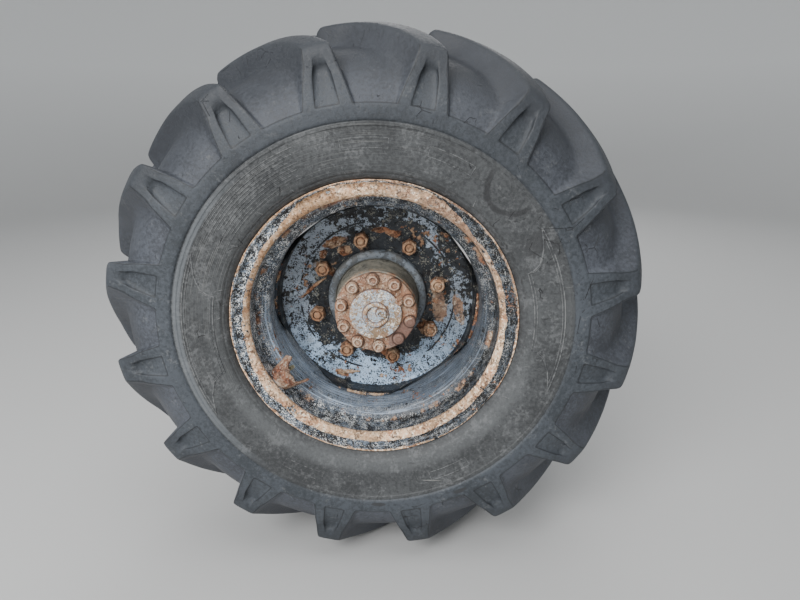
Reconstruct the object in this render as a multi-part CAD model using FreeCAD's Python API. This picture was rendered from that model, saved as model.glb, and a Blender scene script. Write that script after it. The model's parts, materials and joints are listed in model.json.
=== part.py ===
import FreeCAD, Part
import math
import os

from FreeCAD import Vector

# Wheel of a site dumper on its hub and axle end. Millimetres, +Z up, the wheel's axis along Y.
# The origin is the centre of the axle arm's bolting face, and the wheel's outer side faces -Y.
# Axial places are measured from the wheel's middle plane, negative outwards, unless said otherwise.

# Driving dimensions of the whole
axle_reach = 480.0        # bolting face to the wheel's middle plane
seat_gap = 0.2            # room between pieces seated on the same body
run_gap = 0.05            # radial room of a running fit

# Tyre, 405/70-20 class
crown_r = 560.0           # over the lugs at the middle plane
crown_arc_r = 404.0       # the crown's own curve, seen in section
lug_depth = 40.0
lugs_per_side = 16
lug_face_half = 211.0     # middle plane to the lugs' faces, at the shoulder band
lug_end_height = 150.0    # from the shoulder band's top to the crown
inner_bulge = 53.0        # how much the hollow's outline drops from the crown to the shoulder
band_width = 26.0
band_step = 3.0           # the band stands out of the sidewall by this
shoulder_half = 191.0     # middle plane to the outer corner of a lug's end
corner_cut = 8.0          # bevel of that corner
lug_end_low_deg = 6.3     # half the width of a lug's end at the shoulder band
lug_end_top_deg = 2.8
recess_height = 76.0      # of the hollow in a lug's end
recess_depth = 13.0
recess_halves = ((0.0, 18.0), (0.79, 13.0), (0.93, 9.5), (1.0, 3.5))  # share of height, half width

# The rest of a lug of the outer side, section by section from its shoulder to its nose: where its
# trailing foot, trailing edge, leading edge, leading hollow and leading foot lie, each as a share of
# shoulder_half and degrees, then how far its hollow lies below the crown and its feet below crown_r.
lug_rows = (
    ((0.958, -6.4), (0.958, -2.0), (0.958, 3.1), (0.969, 4.4), (0.958, 7.2), 56.0, 161.0),
    ((0.81, -3.6), (0.785, 0.2), (0.77, 6.3), (0.77, 7.3), (0.785, 10.4), 37.0, 120.0),
    ((0.55, 1.6), (0.525, 5.4), (0.535, 11.8), (0.53, 12.9), (0.525, 15.9), 23.0, 80.0),
    ((0.25, 9.6), (0.235, 13.2), (0.26, 18.7), (0.27, 19.2), (0.29, 21.2), 22.5, 70.0),
    ((-0.095, 18.5), (-0.04, 20.0), (0.16, 23.8), (0.155, 24.6), (0.135, 27.0), 25.0, 70.0),
)
first_lug_deg = 10.0      # angle of a lug's end, seen from outside, counter-clockwise from +X
casing_wall = 22.0
floor_corner_in = 73.0    # from the lugs' faces in to where the pockets' floor turns down
floor_corner_drop = 23.0
floor_side_in = 23.0      # halfway down that turn
floor_side_drop = 68.0
inner_corner_in = 24.0    # likewise for the hollow inside the casing, past its wall
inner_side_rise = 20.0
bead_toe = 10.0           # how far a bead reaches past its seat's end
flange_grip_deg = 60.0    # how far round the flange's curl the tyre lies on it

# Rim, 13 inch wide and 20 inch nominal
rim_seat_r = 254.0
rim_half = 165.0          # middle plane to a flange's inner face
rim_plate = 6.0
flange_curl_r = 14.0
flange_fillet_r = 8.0     # between a bead seat and its flange
flange_lip_r = 282.5
seat_end = 118.0          # middle plane to the inner end of a bead seat
seat_taper = 2.5
well_r = 227.3
well_out = -105.0
well_in = 15.0
well_ramp_in = 55.0       # where the ramp from the well reaches the inner ledge

# Disc
disc_plate = 14.0
disc_face = -1.0          # outer side of the nut face
disc_bore_r = 110.5
nut_face_r = 173.0
dish_out = 7.0            # how far out the plate is dished before it turns into its flange
disc_edge = -44.0         # how far out the flange comes
disc_flange = 9.0         # thickness of that flange, which lies inside the well
disc_bend_r = 8.0
disc_flat = 211.0         # axis to each of the four flats
flat_lean = 17.0          # how much further in a flat's cut reaches at the flange's outer edge
first_flat_deg = 36.0
weld_leg = 6.0

# Studs and nuts
stud_count = 8
stud_pcd = 275.0
stud_r = 10.0
stud_tip = -29.0
first_stud_deg = 14.1
nut_af = 30.0
nut_height = 26.5
hole_room = 0.5           # radial room of a stud or bolt in its hole

# Hub
hub_flange_r = 162.0
hub_flange_plate = 20.0
hub_drum_r = 118.0
hub_drum_end_r = 104.0
hub_end = 150.0
hub_ring_r = 108.6
hub_ring_face = -15.0
neck_r = 91.0
journal_r = 60.0
hub_bore_end = 32.0
seal_r = 84.0
seal_plate = 5.0

# Planet housing and cap
cap_face = -107.0
cap_plate = 12.0
cap_r = 86.5
cap_bolt_count = 10
cap_bolt_ring_r = 73.0
first_cap_bolt_deg = 22.0
cap_bolt_af = 22.0
cap_bolt_head = 11.0
cap_plug_head = 9.0
cap_plug_count = 2        # the last places of the ring hold smooth plugs
cap_plug_r = 11.5
cover_r = 55.0
cover_step = 8.0
boss_r = 27.0
boss_step = 7.0
oil_plug_place = (11.8, 4.5)
oil_plug_r = 11.0
oil_plug_head = 6.0

# Spindle, arm and half shaft
spindle_flange_r = 112.0
spindle_flange_plate = 18.0
spindle_gap = 10.0        # hub's inner end to the spindle's flange
spindle_bolt_count = 12
spindle_bolt_ring_r = 97.0
spindle_bolt_af = 21.0
spindle_bolt_r = 7.0
arm_flange_plate = 22.0
arm_neck_r = 76.0
arm_body_r = 92.0
arm_bore_r = 45.0
base_flange_r = 165.0
base_flange_plate = 24.0
base_bolt_count = 12
base_pcd = 290.0
base_hole_r = 8.5
rib_count = 8
rib_plate = 12.0
rib_length = 70.0
pad_length = 150.0
pad_width = 140.0
pad_height = 118.0        # axis to the pad's top
pad_middle = 320.0
pad_hole_r = 9.0
pad_hole_depth = 32.0
pad_spacing_x = 100.0
pad_spacing_y = 105.0
shaft_r = 22.0
shaft_out = 36.0
shaft_stub = 70.0         # how far the splined end stands out of the bolting face
spline_teeth = 16
spline_depth = 3.0
spline_length = 60.0
bush_length = 24.0

# Valve and its guard, on the outer bead seat's underside
valve_deg = 212.5
valve_in = 38.0           # flange's inner face to the valve's middle
valve_r = 5.0
valve_reach = 50.0        # from the bead seat in towards the axle
valve_foot = 7.0
valve_foot_r = 9.0
guard_reach = 57.0
guard_turn = 1.9          # degrees from the valve to the guard's middle
guard_foot_r = 24.0
guard_mouth_r = 31.0
guard_plate = 4.0
guard_wing = 5.0          # how far its sides reach past the valve

SIN_45 = math.sqrt(0.5)
band_out_r = crown_r - lug_end_height
band_in_r = band_out_r - band_width
lip_plane = rim_half + flange_curl_r
wheel_y = -axle_reach
valve_y = valve_in - rim_half


def at(deg, r, y=0.0):
    """A point by its angle seen from outside, its radius and its place along the axle."""
    a = math.radians(deg)
    return Vector(r * math.cos(a), wheel_y + y, r * math.sin(a))


def line(p, q):
    return Part.LineSegment(Vector(0, wheel_y + p[0], p[1]), Vector(0, wheel_y + q[0], q[1])).toShape()


def arc(p, m, q):
    points = [Vector(0, wheel_y + s[0], s[1]) for s in (p, m, q)]
    return Part.Arc(*points).toShape()


def outline(*steps):
    """A closed outline of (y, r) points; a step of two points is an arc's middle and its end."""
    start = steps[0]
    here = start
    edges = []
    for step in steps[1:] + (start,):
        if isinstance(step[0], tuple):
            edges.append(arc(here, step[0], step[1]))
            here = step[1]
        elif step != here:
            edges.append(line(here, step))
            here = step
    return Part.Face(Part.Wire(edges))


def turned(*steps):
    return outline(*steps).revolve(Vector(0, 0, 0), Vector(0, 1, 0), 360)


def tube(y0, y1, r_out, r_in=0.0):
    body = Part.makeCylinder(r_out, y1 - y0, Vector(0, wheel_y + y0, 0), Vector(0, 1, 0))
    if r_in:
        body = body.cut(Part.makeCylinder(r_in, y1 - y0, Vector(0, wheel_y + y0, 0), Vector(0, 1, 0)))
    return body


def peg(deg, ring_r, y0, y1, r):
    return Part.makeCylinder(r, y1 - y0, at(deg, ring_r, y0), Vector(0, 1, 0))


def ring_of(count, first_deg):
    return [first_deg + k * 360.0 / count for k in range(count)]


def hexagon(deg, ring_r, y0, y1, across_flats, chamfer_side):
    """A hexagonal head between y0 and y1, its corners turned off on one side (-1 outer, +1 inner)."""
    corner_r = across_flats / math.sqrt(3.0)
    centre = at(deg, ring_r, y0)
    corners = []
    for k in range(7):
        a = math.radians(deg + 60.0 * k)
        corners.append(centre + Vector(corner_r * math.cos(a), 0, corner_r * math.sin(a)))
    head = Part.Face(Part.makePolygon(corners)).extrude(Vector(0, y1 - y0, 0))
    height = y1 - y0
    small = across_flats / 2.0 * 0.97
    big = small + height * math.sqrt(3.0)
    if chamfer_side < 0:
        cone = Part.makeCone(small, big, height, centre, Vector(0, 1, 0))
    else:
        cone = Part.makeCone(big, small, height, centre, Vector(0, 1, 0))
    return head.common(cone)


def bead_side(s):
    """Points of the tyre's side on one flange (s -1 outer, +1 inner), from the seat to the band."""
    side_y = lug_face_half - band_step
    grip_r = flange_curl_r + seat_gap
    wall_r = flange_lip_r - flange_curl_r
    half = math.radians(flange_grip_deg / 2.0)
    full = math.radians(flange_grip_deg)
    middle = (s * (lip_plane - grip_r * math.cos(half)), wall_r + grip_r * math.sin(half))
    leave = (s * (lip_plane - grip_r * math.cos(full)), wall_r + grip_r * math.sin(full))
    heel_r = flange_fillet_r - seat_gap
    heel = (s * (rim_half - flange_fillet_r + heel_r * SIN_45), rim_seat_r + flange_fillet_r - heel_r * SIN_45)
    return [
        (s * (rim_half - flange_fillet_r), rim_seat_r + seat_gap),
        (heel, (s * (rim_half - seat_gap), rim_seat_r + flange_fillet_r)),
        (s * (rim_half - seat_gap), wall_r),
        (middle, leave),
        (s * (lip_plane + 5.0), flange_lip_r + 7.5),
        ((s * (side_y - 8.0), (flange_lip_r + band_in_r) / 2.0 - 5.0), (s * side_y, band_in_r)),
    ]


def crown_at(y):
    return crown_r - crown_arc_r + math.sqrt(crown_arc_r ** 2 - y ** 2)


def lug_sections():
    """Sections of the outer side's lug that ends at 0 degrees, as rings of (y, degrees, radius)."""
    low_r = band_out_r - 1.0
    top_r = crown_at(shoulder_half) - corner_cut
    low_y = 0.3 - lug_face_half
    top_y = -(shoulder_half + 1.5)
    sections = [[
        (low_y, -lug_end_low_deg, low_r),
        (top_y, -lug_end_top_deg, top_r),
        (top_y, lug_end_top_deg, top_r),
        ((low_y + top_y) / 2.0, (lug_end_low_deg + lug_end_top_deg) / 2.0, (low_r + top_r) / 2.0),
        (low_y, lug_end_low_deg, low_r),
    ]]
    for trail_foot, trail_edge, lead_edge, hollow, lead_foot, hollow_drop, foot_drop in lug_rows:
        section = []
        for share, deg in (trail_foot, trail_edge, lead_edge, hollow, lead_foot):
            y = -share * shoulder_half
            section.append([y, deg, crown_at(y)])
        section[0][2] = crown_r - foot_drop
        section[3][2] -= hollow_drop
        section[4][2] = crown_r - foot_drop
        sections.append(section)
    return sections


def strip(ring, next_ring):
    """Triangles between two sections of as many points."""
    faces = []
    count = len(ring)
    for k in range(count):
        n = (k + 1) % count
        for corners in ((ring[k], ring[n], next_ring[n]), (ring[k], next_ring[n], next_ring[k])):
            faces.append(Part.Face(Part.makePolygon(list(corners) + [corners[0]])))
    return faces


def fan(ring):
    """Triangles that close a section."""
    return [Part.Face(Part.makePolygon([ring[0], ring[k], ring[k + 1], ring[0]])) for k in range(1, len(ring) - 1)]


def lug_recess():
    """The scooped hollow in a lug's end: nearly flush at its foot, deepest under its round top."""
    low_r = band_out_r - 2.0
    lean = (lug_face_half - shoulder_half) / (crown_at(shoulder_half) - band_out_r)
    front = wheel_y - lug_face_half - recess_depth
    low_y = wheel_y - lug_face_half + 0.5
    top_y = low_y + recess_height * lean + recess_depth
    right = [Vector(low_r + share * recess_height, front, half) for share, half in recess_halves]
    left = [Vector(low_r + share * recess_height, front, -half) for share, half in reversed(recess_halves)]
    prism = Part.Face(Part.makePolygon(right + left + [right[0]])).extrude(Vector(0, top_y - front, 0))
    side = -2.0 * recess_halves[0][1]
    wedge = Part.Face(Part.makePolygon([
        Vector(low_r, front, side),
        Vector(low_r + recess_height, front, side),
        Vector(low_r + recess_height, top_y, side),
        Vector(low_r, low_y, side),
        Vector(low_r, front, side),
    ])).extrude(Vector(0, 0, -2.0 * side))
    return prism.common(wedge)


def lug():
    rings = [[at(deg, r, y) for y, deg, r in section] for section in lug_sections()]
    faces = fan(rings[0]) + fan(rings[-1])
    for ring, next_ring in zip(rings, rings[1:]):
        faces += strip(ring, next_ring)
    solid = Part.Solid(Part.Shell(faces))
    if solid.Volume < 0.0:
        solid.reverse()
    return solid.cut(lug_recess())


def tyre():
    """Hollow casing, open to the rim between its beads, with swept lugs from both shoulders."""
    face_y = lug_face_half
    floor_r = crown_r - lug_depth
    inner_r = floor_r - casing_wall
    inner_shoulder = (face_y - casing_wall - inner_corner_in, inner_r - inner_bulge)
    inner_side = (face_y - casing_wall - 1.0, (inner_r - inner_bulge + rim_seat_r) / 2.0 + inner_side_rise)
    seat = rim_seat_r + seat_gap
    toe_y = seat_end + bead_toe
    bead_top = (toe_y + bead_toe, seat + 3.0 * bead_toe)
    side_y = face_y - band_step
    band_top = (face_y - 5.0, band_out_r + 4.0)
    floor_side = (face_y - floor_side_in, floor_r - floor_side_drop)
    floor_corner = (face_y - floor_corner_in, floor_r - floor_corner_drop)
    foot = bead_side(1.0)
    casing = turned(
        *bead_side(-1.0),
        (-face_y, band_in_r + band_step),
        (-face_y, band_out_r),
        (-band_top[0], band_top[1]),
        ((-floor_side[0], floor_side[1]), (-floor_corner[0], floor_corner[1])),
        ((0.0, floor_r), floor_corner),
        (floor_side, band_top),
        (face_y, band_out_r),
        (face_y, band_in_r + band_step),
        (side_y, band_in_r),
        (foot[5][0], foot[4]),
        foot[3][1],
        (foot[3][0], foot[2]),
        foot[1][1],
        (foot[1][0], foot[0]),
        (toe_y, seat),
        bead_top,
        (inner_side, inner_shoulder),
        ((0.0, inner_r), (-inner_shoulder[0], inner_shoulder[1])),
        ((-inner_side[0], inner_side[1]), (-bead_top[0], bead_top[1])),
        (-toe_y, seat),
    )
    outer_lug = lug()
    inner_lug = outer_lug.mirror(Vector(0, wheel_y, 0), Vector(0, 1, 0))
    lugs = []
    for k in range(lugs_per_side):
        deg = first_lug_deg + k * 360.0 / lugs_per_side
        for shape, turn in ((outer_lug, deg), (inner_lug, deg + 180.0 / lugs_per_side)):
            placed = shape.copy()
            placed.rotate(Vector(0, 0, 0), Vector(0, 1, 0), -turn)
            lugs.append(placed)
    return casing.fuse(lugs)


def rim():
    """Rolled rim: two curled flanges, tapered bead seats and the well that holds the disc."""
    curl = flange_curl_r
    thin = curl - rim_plate
    curl_y = lip_plane
    curl_mid = SIN_45
    wall_r = flange_lip_r - curl
    fillet = flange_fillet_r
    big = fillet + rim_plate
    seat = rim_seat_r
    under = seat - rim_plate
    well_under = well_r - rim_plate
    ledge = seat - seat_taper
    f = fillet * (1.0 - SIN_45)
    g = big * (1.0 - SIN_45)
    face = rim_half
    back = rim_half + rim_plate
    return turned(
        (-curl_y, flange_lip_r),
        ((-(curl_y - curl * curl_mid), wall_r + curl * curl_mid), (-face, wall_r)),
        (-face, seat + fillet),
        ((-(face - f), seat + f), (-(face - fillet), seat)),
        (-seat_end, ledge),
        (well_out, well_r),
        (well_in, well_r),
        (well_ramp_in, ledge),
        (seat_end, ledge),
        (face - fillet, seat),
        ((face - f, seat + f), (face, seat + fillet)),
        (face, wall_r),
        ((curl_y - curl * curl_mid, wall_r + curl * curl_mid), (curl_y, flange_lip_r)),
        (curl_y, flange_lip_r - rim_plate),
        ((curl_y - thin * curl_mid, wall_r + thin * curl_mid), (back, wall_r)),
        (back, under + big),
        ((back - g, under + g), (back - big, under)),
        (seat_end - 3.0, ledge - rim_plate),
        (well_ramp_in + 3.0, ledge - rim_plate),
        (well_in + 3.0, well_under),
        (well_out - 4.0 + 8.0, well_under),
        (-(seat_end - 4.0), ledge - rim_plate),
        (-(back - big), under),
        ((-(back - g), under + g), (-back, under + big)),
        (-back, wall_r),
        ((-(curl_y - thin * curl_mid), wall_r + thin * curl_mid), (-curl_y, flange_lip_r - rim_plate)),
    )


def well_inner_r():
    return well_r - rim_plate


def wheel_disc():
    """Pressed disc: a flat nut face, dished a little, flanged out along the well and cut by four flats."""
    edge_r = well_inner_r() - seat_gap
    inner_r = edge_r - disc_flange
    bend = disc_bend_r
    big = bend + disc_flange
    mid = 1.0 - SIN_45
    dish = disc_face - dish_out
    back = disc_face + disc_plate
    dish_back = dish + disc_flange + 2.0
    disc = turned(
        (disc_face, disc_bore_r),
        (disc_face, nut_face_r),
        (dish, inner_r - bend),
        ((dish - bend * mid, inner_r - bend * mid), (dish - bend, inner_r)),
        (disc_edge, inner_r),
        (disc_edge, edge_r),
        (dish_back - big, edge_r),
        ((dish_back - big * mid, edge_r - big * mid), (dish_back, edge_r - big)),
        (back, nut_face_r + disc_bend_r),
        (back, disc_bore_r),
    )
    out = disc_edge - disc_bend_r
    level = dish - bend
    lean = flat_lean * (out - level) / (disc_edge - level)
    far = edge_r + 2.0 * disc_bend_r
    for deg in ring_of(4, first_flat_deg):
        block = Part.Face(Part.makePolygon([
            Vector(disc_flat, wheel_y + back + 5.0, -edge_r),
            Vector(disc_flat, wheel_y + level, -edge_r),
            Vector(disc_flat - lean, wheel_y + out, -edge_r),
            Vector(far, wheel_y + out, -edge_r),
            Vector(far, wheel_y + back + 5.0, -edge_r),
            Vector(disc_flat, wheel_y + back + 5.0, -edge_r),
        ])).extrude(Vector(0, 0, 2.0 * edge_r))
        block.rotate(Vector(0, 0, 0), Vector(0, 1, 0), -deg)
        disc = disc.cut(block)
    for deg in ring_of(stud_count, first_stud_deg):
        disc = disc.cut(peg(deg, stud_pcd / 2.0, disc_face - 5.0, back + 5.0, stud_r + hole_room))
    return disc


def disc_welds():
    """Weld beads in the four places where the flange's outer edge meets the well."""
    edge_r = well_inner_r() - seat_gap
    half = math.degrees(math.acos((disc_flat - flat_lean) / edge_r))
    span = 90.0 - 2.0 * half - 2.0
    start = disc_edge - seat_gap
    beads = []
    for deg in ring_of(4, first_flat_deg + 45.0):
        face = outline((start - weld_leg, edge_r), (start, edge_r), (start, edge_r - weld_leg))
        bead = face.revolve(Vector(0, 0, 0), Vector(0, 1, 0), span)
        bead.rotate(Vector(0, 0, 0), Vector(0, 1, 0), 90.0 - deg - span / 2.0)
        beads.append(bead)
    return Part.makeCompound(beads)


def hub():
    """Cast hub: pilot ring through the disc, stud flange, drum and the bore that runs on the spindle."""
    face = disc_face + disc_plate
    flange_end = face + hub_flange_plate
    pilot_r = disc_bore_r - seat_gap
    body = turned(
        (hub_ring_face + 4.0, neck_r + seat_gap),
        ((hub_ring_face, (neck_r + hub_ring_r) / 2.0), (hub_ring_face + 4.0, hub_ring_r)),
        (disc_face, pilot_r),
        (face, pilot_r),
        (face, hub_flange_r),
        (flange_end, hub_flange_r),
        (flange_end + 12.0, hub_drum_r),
        (hub_end - 20.0, hub_drum_end_r),
        (hub_end, hub_drum_end_r - 10.0),
        (hub_end, journal_r + run_gap),
        (hub_bore_end, journal_r + run_gap),
        (hub_bore_end, 30.0),
        (hub_bore_end - 12.0, 30.0),
        (hub_bore_end - 12.0, neck_r + seat_gap),
    )
    for deg in ring_of(stud_count, first_stud_deg):
        body = body.cut(peg(deg, stud_pcd / 2.0, face - 2.0, flange_end + 14.0, stud_r + hole_room))
    return body


def planet_housing():
    """Neck of the planet carrier, which stands out through the disc."""
    cover_seat = cap_face + cap_plate
    return turned(
        (cover_seat, 40.0),
        (cover_seat, cap_r - 2.0),
        (cover_seat + 18.0, cap_r - 5.0),
        (hub_ring_face + 4.0, neck_r),
        (hub_bore_end - 12.0 - seat_gap, neck_r),
        (hub_bore_end - 12.0 - seat_gap, 40.0),
    )


def hub_cap():
    """Cap bolted over the planet gears, with a bevelled edge and a shallow register for the cover."""
    bevel = 3.0
    inner = cap_face + cap_plate - seat_gap
    cap = turned(
        (cap_face, 0.001),
        (cap_face, cap_r - bevel),
        (cap_face + bevel, cap_r),
        (inner, cap_r),
        (inner, 0.001),
    )
    return cap


def cap_bolts():
    heads = []
    for deg in ring_of(cap_bolt_count, first_cap_bolt_deg)[:-cap_plug_count]:
        heads.append(hexagon(deg, cap_bolt_ring_r, cap_face - cap_bolt_head - seat_gap,
                             cap_face - seat_gap, cap_bolt_af, -1))
    return Part.makeCompound(heads)


def cap_plugs():
    """Smooth round plugs in the two places of the ring that hold no bolt."""
    places = ring_of(cap_bolt_count, first_cap_bolt_deg)[-cap_plug_count:]
    return Part.makeCompound([peg(deg, cap_bolt_ring_r, cap_face - cap_plug_head - seat_gap,
                                  cap_face - seat_gap, cap_plug_r) for deg in places])


def centre_cover():
    """Raised round cover in the middle of the cap, with a ring boss."""
    face = cap_face - cover_step - seat_gap
    inner = cap_face - seat_gap
    return turned(
        (face - boss_step, 0.001),
        (face - boss_step, boss_r - 2.0),
        (face, boss_r),
        (face, cover_r - 2.0),
        (inner, cover_r),
        (inner, 0.001),
    )


def oil_plug():
    face = cap_face - cover_step - boss_step - 2.0 * seat_gap
    centre = Vector(oil_plug_place[0], wheel_y + face - oil_plug_head, oil_plug_place[1])
    return Part.makeCylinder(oil_plug_r, oil_plug_head, centre, Vector(0, 1, 0))


def wheel_studs():
    end = disc_face + disc_plate + hub_flange_plate + 14.0
    return Part.makeCompound([peg(deg, stud_pcd / 2.0, stud_tip, end, stud_r)
                              for deg in ring_of(stud_count, first_stud_deg)])


def wheel_nuts():
    nuts = []
    inner = disc_face - seat_gap
    for deg in ring_of(stud_count, first_stud_deg):
        nut = hexagon(deg, stud_pcd / 2.0, inner - nut_height, inner, nut_af, -1)
        nuts.append(nut.cut(peg(deg, stud_pcd / 2.0, inner - 60.0, inner + 5.0, stud_r + seat_gap)))
    return Part.makeCompound(nuts)


def hub_seal():
    """Seal carrier on the hub's inner end."""
    return tube(hub_end + seat_gap, hub_end + seal_plate, seal_r, journal_r + run_gap)


def spindle():
    """Fixed stub inside the hub: two journals, a relieved middle and a bolting flange."""
    flange_y = hub_end + spindle_gap
    back = flange_y + spindle_flange_plate
    tip = hub_bore_end + 6.0
    land = 26.0
    relief = journal_r - 4.0
    body = turned(
        (tip, arm_bore_r - 12.0),
        (tip, journal_r - 2.0),
        (tip + 2.0, journal_r),
        (tip + land, journal_r),
        (tip + land + 4.0, relief),
        (hub_end - land - 4.0, relief),
        (hub_end - land, journal_r),
        (hub_end + seal_plate + 1.0, journal_r),
        (flange_y, journal_r + 4.0),
        (flange_y, spindle_flange_r),
        (back, spindle_flange_r),
        (back, arm_bore_r - 12.0),
    )
    for deg in ring_of(spindle_bolt_count, 15.0):
        body = body.cut(peg(deg, spindle_bolt_ring_r, flange_y - 5.0, back + 5.0, spindle_bolt_r + hole_room))
    return body


def spindle_bolts():
    """Bolts with their heads on the arm's side, through both flanges."""
    start = hub_end + spindle_gap + 1.0
    seat = hub_end + spindle_gap + spindle_flange_plate + arm_flange_plate + seat_gap
    bolts = []
    for deg in ring_of(spindle_bolt_count, 15.0):
        shank = peg(deg, spindle_bolt_ring_r, start, seat + 1.0, spindle_bolt_r)
        head = hexagon(deg, spindle_bolt_ring_r, seat, seat + 9.0, spindle_bolt_af, 1)
        bolts.append(shank.fuse(head))
    return Part.makeCompound(bolts)


def shaft_bush():
    tip = hub_bore_end + 6.0
    return tube(tip, tip + bush_length, arm_bore_r - 12.0 - seat_gap, shaft_r + run_gap)


def axle_arm():
    """Cast arm: outer flange, neck, swelling body, chassis pad with tapped holes, ribbed base flange."""
    start = hub_end + spindle_gap + spindle_flange_plate + seat_gap
    flange_end = start + arm_flange_plate - seat_gap
    base = axle_reach - base_flange_plate
    arm = turned(
        (start, arm_bore_r),
        (start, spindle_flange_r),
        (flange_end, spindle_flange_r),
        (flange_end, arm_neck_r + 4.0),
        (flange_end + 16.0, arm_neck_r),
        (pad_middle - pad_length / 2.0, arm_body_r),
        (base - 10.0, arm_body_r),
        (base, arm_body_r + 10.0),
        (base, base_flange_r),
        (axle_reach, base_flange_r),
        (axle_reach, arm_bore_r),
    )
    pad = Part.makeBox(pad_width, pad_length, pad_height,
                       Vector(-pad_width / 2.0, wheel_y + pad_middle - pad_length / 2.0, 0))
    pad = pad.cut(tube(0.0, axle_reach, arm_body_r - 5.0))
    arm = arm.fuse(pad)
    rib_face_r = base_flange_r - 10.0
    for deg in ring_of(rib_count, 22.5):
        rib = Part.Face(Part.makePolygon([
            Vector(arm_body_r - 4.0, wheel_y + base - rib_length, -rib_plate / 2.0),
            Vector(rib_face_r - 22.0, wheel_y + base + 1.0, -rib_plate / 2.0),
            Vector(arm_body_r - 4.0, wheel_y + base + 1.0, -rib_plate / 2.0),
            Vector(arm_body_r - 4.0, wheel_y + base - rib_length, -rib_plate / 2.0),
        ])).extrude(Vector(0, 0, rib_plate))
        rib.rotate(Vector(0, 0, 0), Vector(0, 1, 0), -deg)
        arm = arm.fuse(rib)
    for deg in ring_of(spindle_bolt_count, 15.0):
        arm = arm.cut(peg(deg, spindle_bolt_ring_r, start - 5.0, flange_end + 5.0, spindle_bolt_r + hole_room))
    for deg in ring_of(base_bolt_count, 0.0):
        arm = arm.cut(peg(deg, base_pcd / 2.0, base - 5.0, axle_reach + 5.0, base_hole_r))
    for sx in (-1.0, 1.0):
        for sy in (-1.0, 1.0):
            hole = Part.makeCylinder(pad_hole_r, pad_hole_depth + 5.0,
                                     Vector(sx * pad_spacing_x / 2.0,
                                            wheel_y + pad_middle + sy * pad_spacing_y / 2.0,
                                            pad_height - pad_hole_depth))
            arm = arm.cut(hole)
    return arm.removeSplitter()


def half_shaft():
    """Drive shaft down the arm, its splined end standing out of the bolting face."""
    spline_start = axle_reach + shaft_stub - spline_length
    body = tube(shaft_out, spline_start, shaft_r)
    points = []
    for k in range(spline_teeth):
        for part_of, r in ((0.0, shaft_r - spline_depth), (0.32, shaft_r - spline_depth),
                           (0.5, shaft_r), (0.82, shaft_r)):
            points.append(at((k + part_of) * 360.0 / spline_teeth, r, spline_start))
    points.append(points[0])
    spline = Part.Face(Part.makePolygon(points)).extrude(Vector(0, spline_length, 0))
    return body.fuse(spline)


def under_seats():
    """Solid that fills the rim's outer side up to its seats and well, a little short of them."""
    under = rim_seat_r - rim_plate - seat_gap
    ledge = under - seat_taper
    return turned(
        (-rim_half, 0.001),
        (-rim_half, under),
        (-(seat_end - 4.0), ledge),
        (well_out + 4.0, well_inner_r() - seat_gap),
        (0.0, well_inner_r() - seat_gap),
        (0.0, 0.001),
    )


def radial(deg, r0, r1, small_r, big_r):
    """Round bar beside the flange, pointing to the axle, from radius r0 in to r1."""
    foot = at(deg, r0, valve_y)
    inward = at(deg, r1, valve_y) - foot
    if small_r == big_r:
        return Part.makeCylinder(small_r, r0 - r1, foot, inward)
    return Part.makeCone(small_r, big_r, r0 - r1, foot, inward)


def valve_stem():
    """Short straight valve with a round foot on the bead seat's underside."""
    seat = rim_seat_r + 5.0
    foot = radial(valve_deg, seat, rim_seat_r - rim_plate - valve_foot, valve_foot_r, valve_foot_r)
    stem = radial(valve_deg, seat, rim_seat_r - valve_reach, valve_r, valve_r)
    return foot.fuse(stem).common(under_seats())


def valve_guard():
    """Bent plate welded up outside the valve: half a cone, wider at its free end, open to the disc."""
    seat = rim_seat_r + 5.0
    deg = valve_deg + guard_turn
    end_r = rim_seat_r - guard_reach
    outside = radial(deg, seat, end_r, guard_foot_r, guard_mouth_r)
    inside = radial(deg, seat, end_r, guard_foot_r - guard_plate, guard_mouth_r - guard_plate)
    shell = outside.cut(inside)
    back = Part.makeBox(2.0 * rim_seat_r, rim_half, 2.0 * rim_seat_r,
                        Vector(-rim_seat_r, wheel_y + valve_y + guard_wing, -rim_seat_r))
    return shell.cut(back).common(under_seats())


pieces = {
    "axle_arm": axle_arm,
    "spindle": spindle,
    "spindle_bolts": spindle_bolts,
    "shaft_bush": shaft_bush,
    "tyre": tyre,
    "rim": rim,
    "wheel_disc": wheel_disc,
    "disc_welds": disc_welds,
    "valve_stem": valve_stem,
    "valve_guard": valve_guard,
    "hub": hub,
    "hub_seal": hub_seal,
    "planet_housing": planet_housing,
    "hub_cap": hub_cap,
    "cap_bolts": cap_bolts,
    "cap_plugs": cap_plugs,
    "centre_cover": centre_cover,
    "oil_plug": oil_plug,
    "wheel_studs": wheel_studs,
    "wheel_nuts": wheel_nuts,
    "half_shaft": half_shaft,
}

os.makedirs("parts", exist_ok=True)
for name, make in pieces.items():
    shape = make()
    print(name, "valid", shape.isValid(), "solids", len(shape.Solids), "volume", round(shape.Volume))
    shape.exportStep("parts/" + name + ".step")
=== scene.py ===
import json
import math

import bmesh
import bpy
import numpy as np
from mathutils import Matrix, Vector, noise


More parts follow.
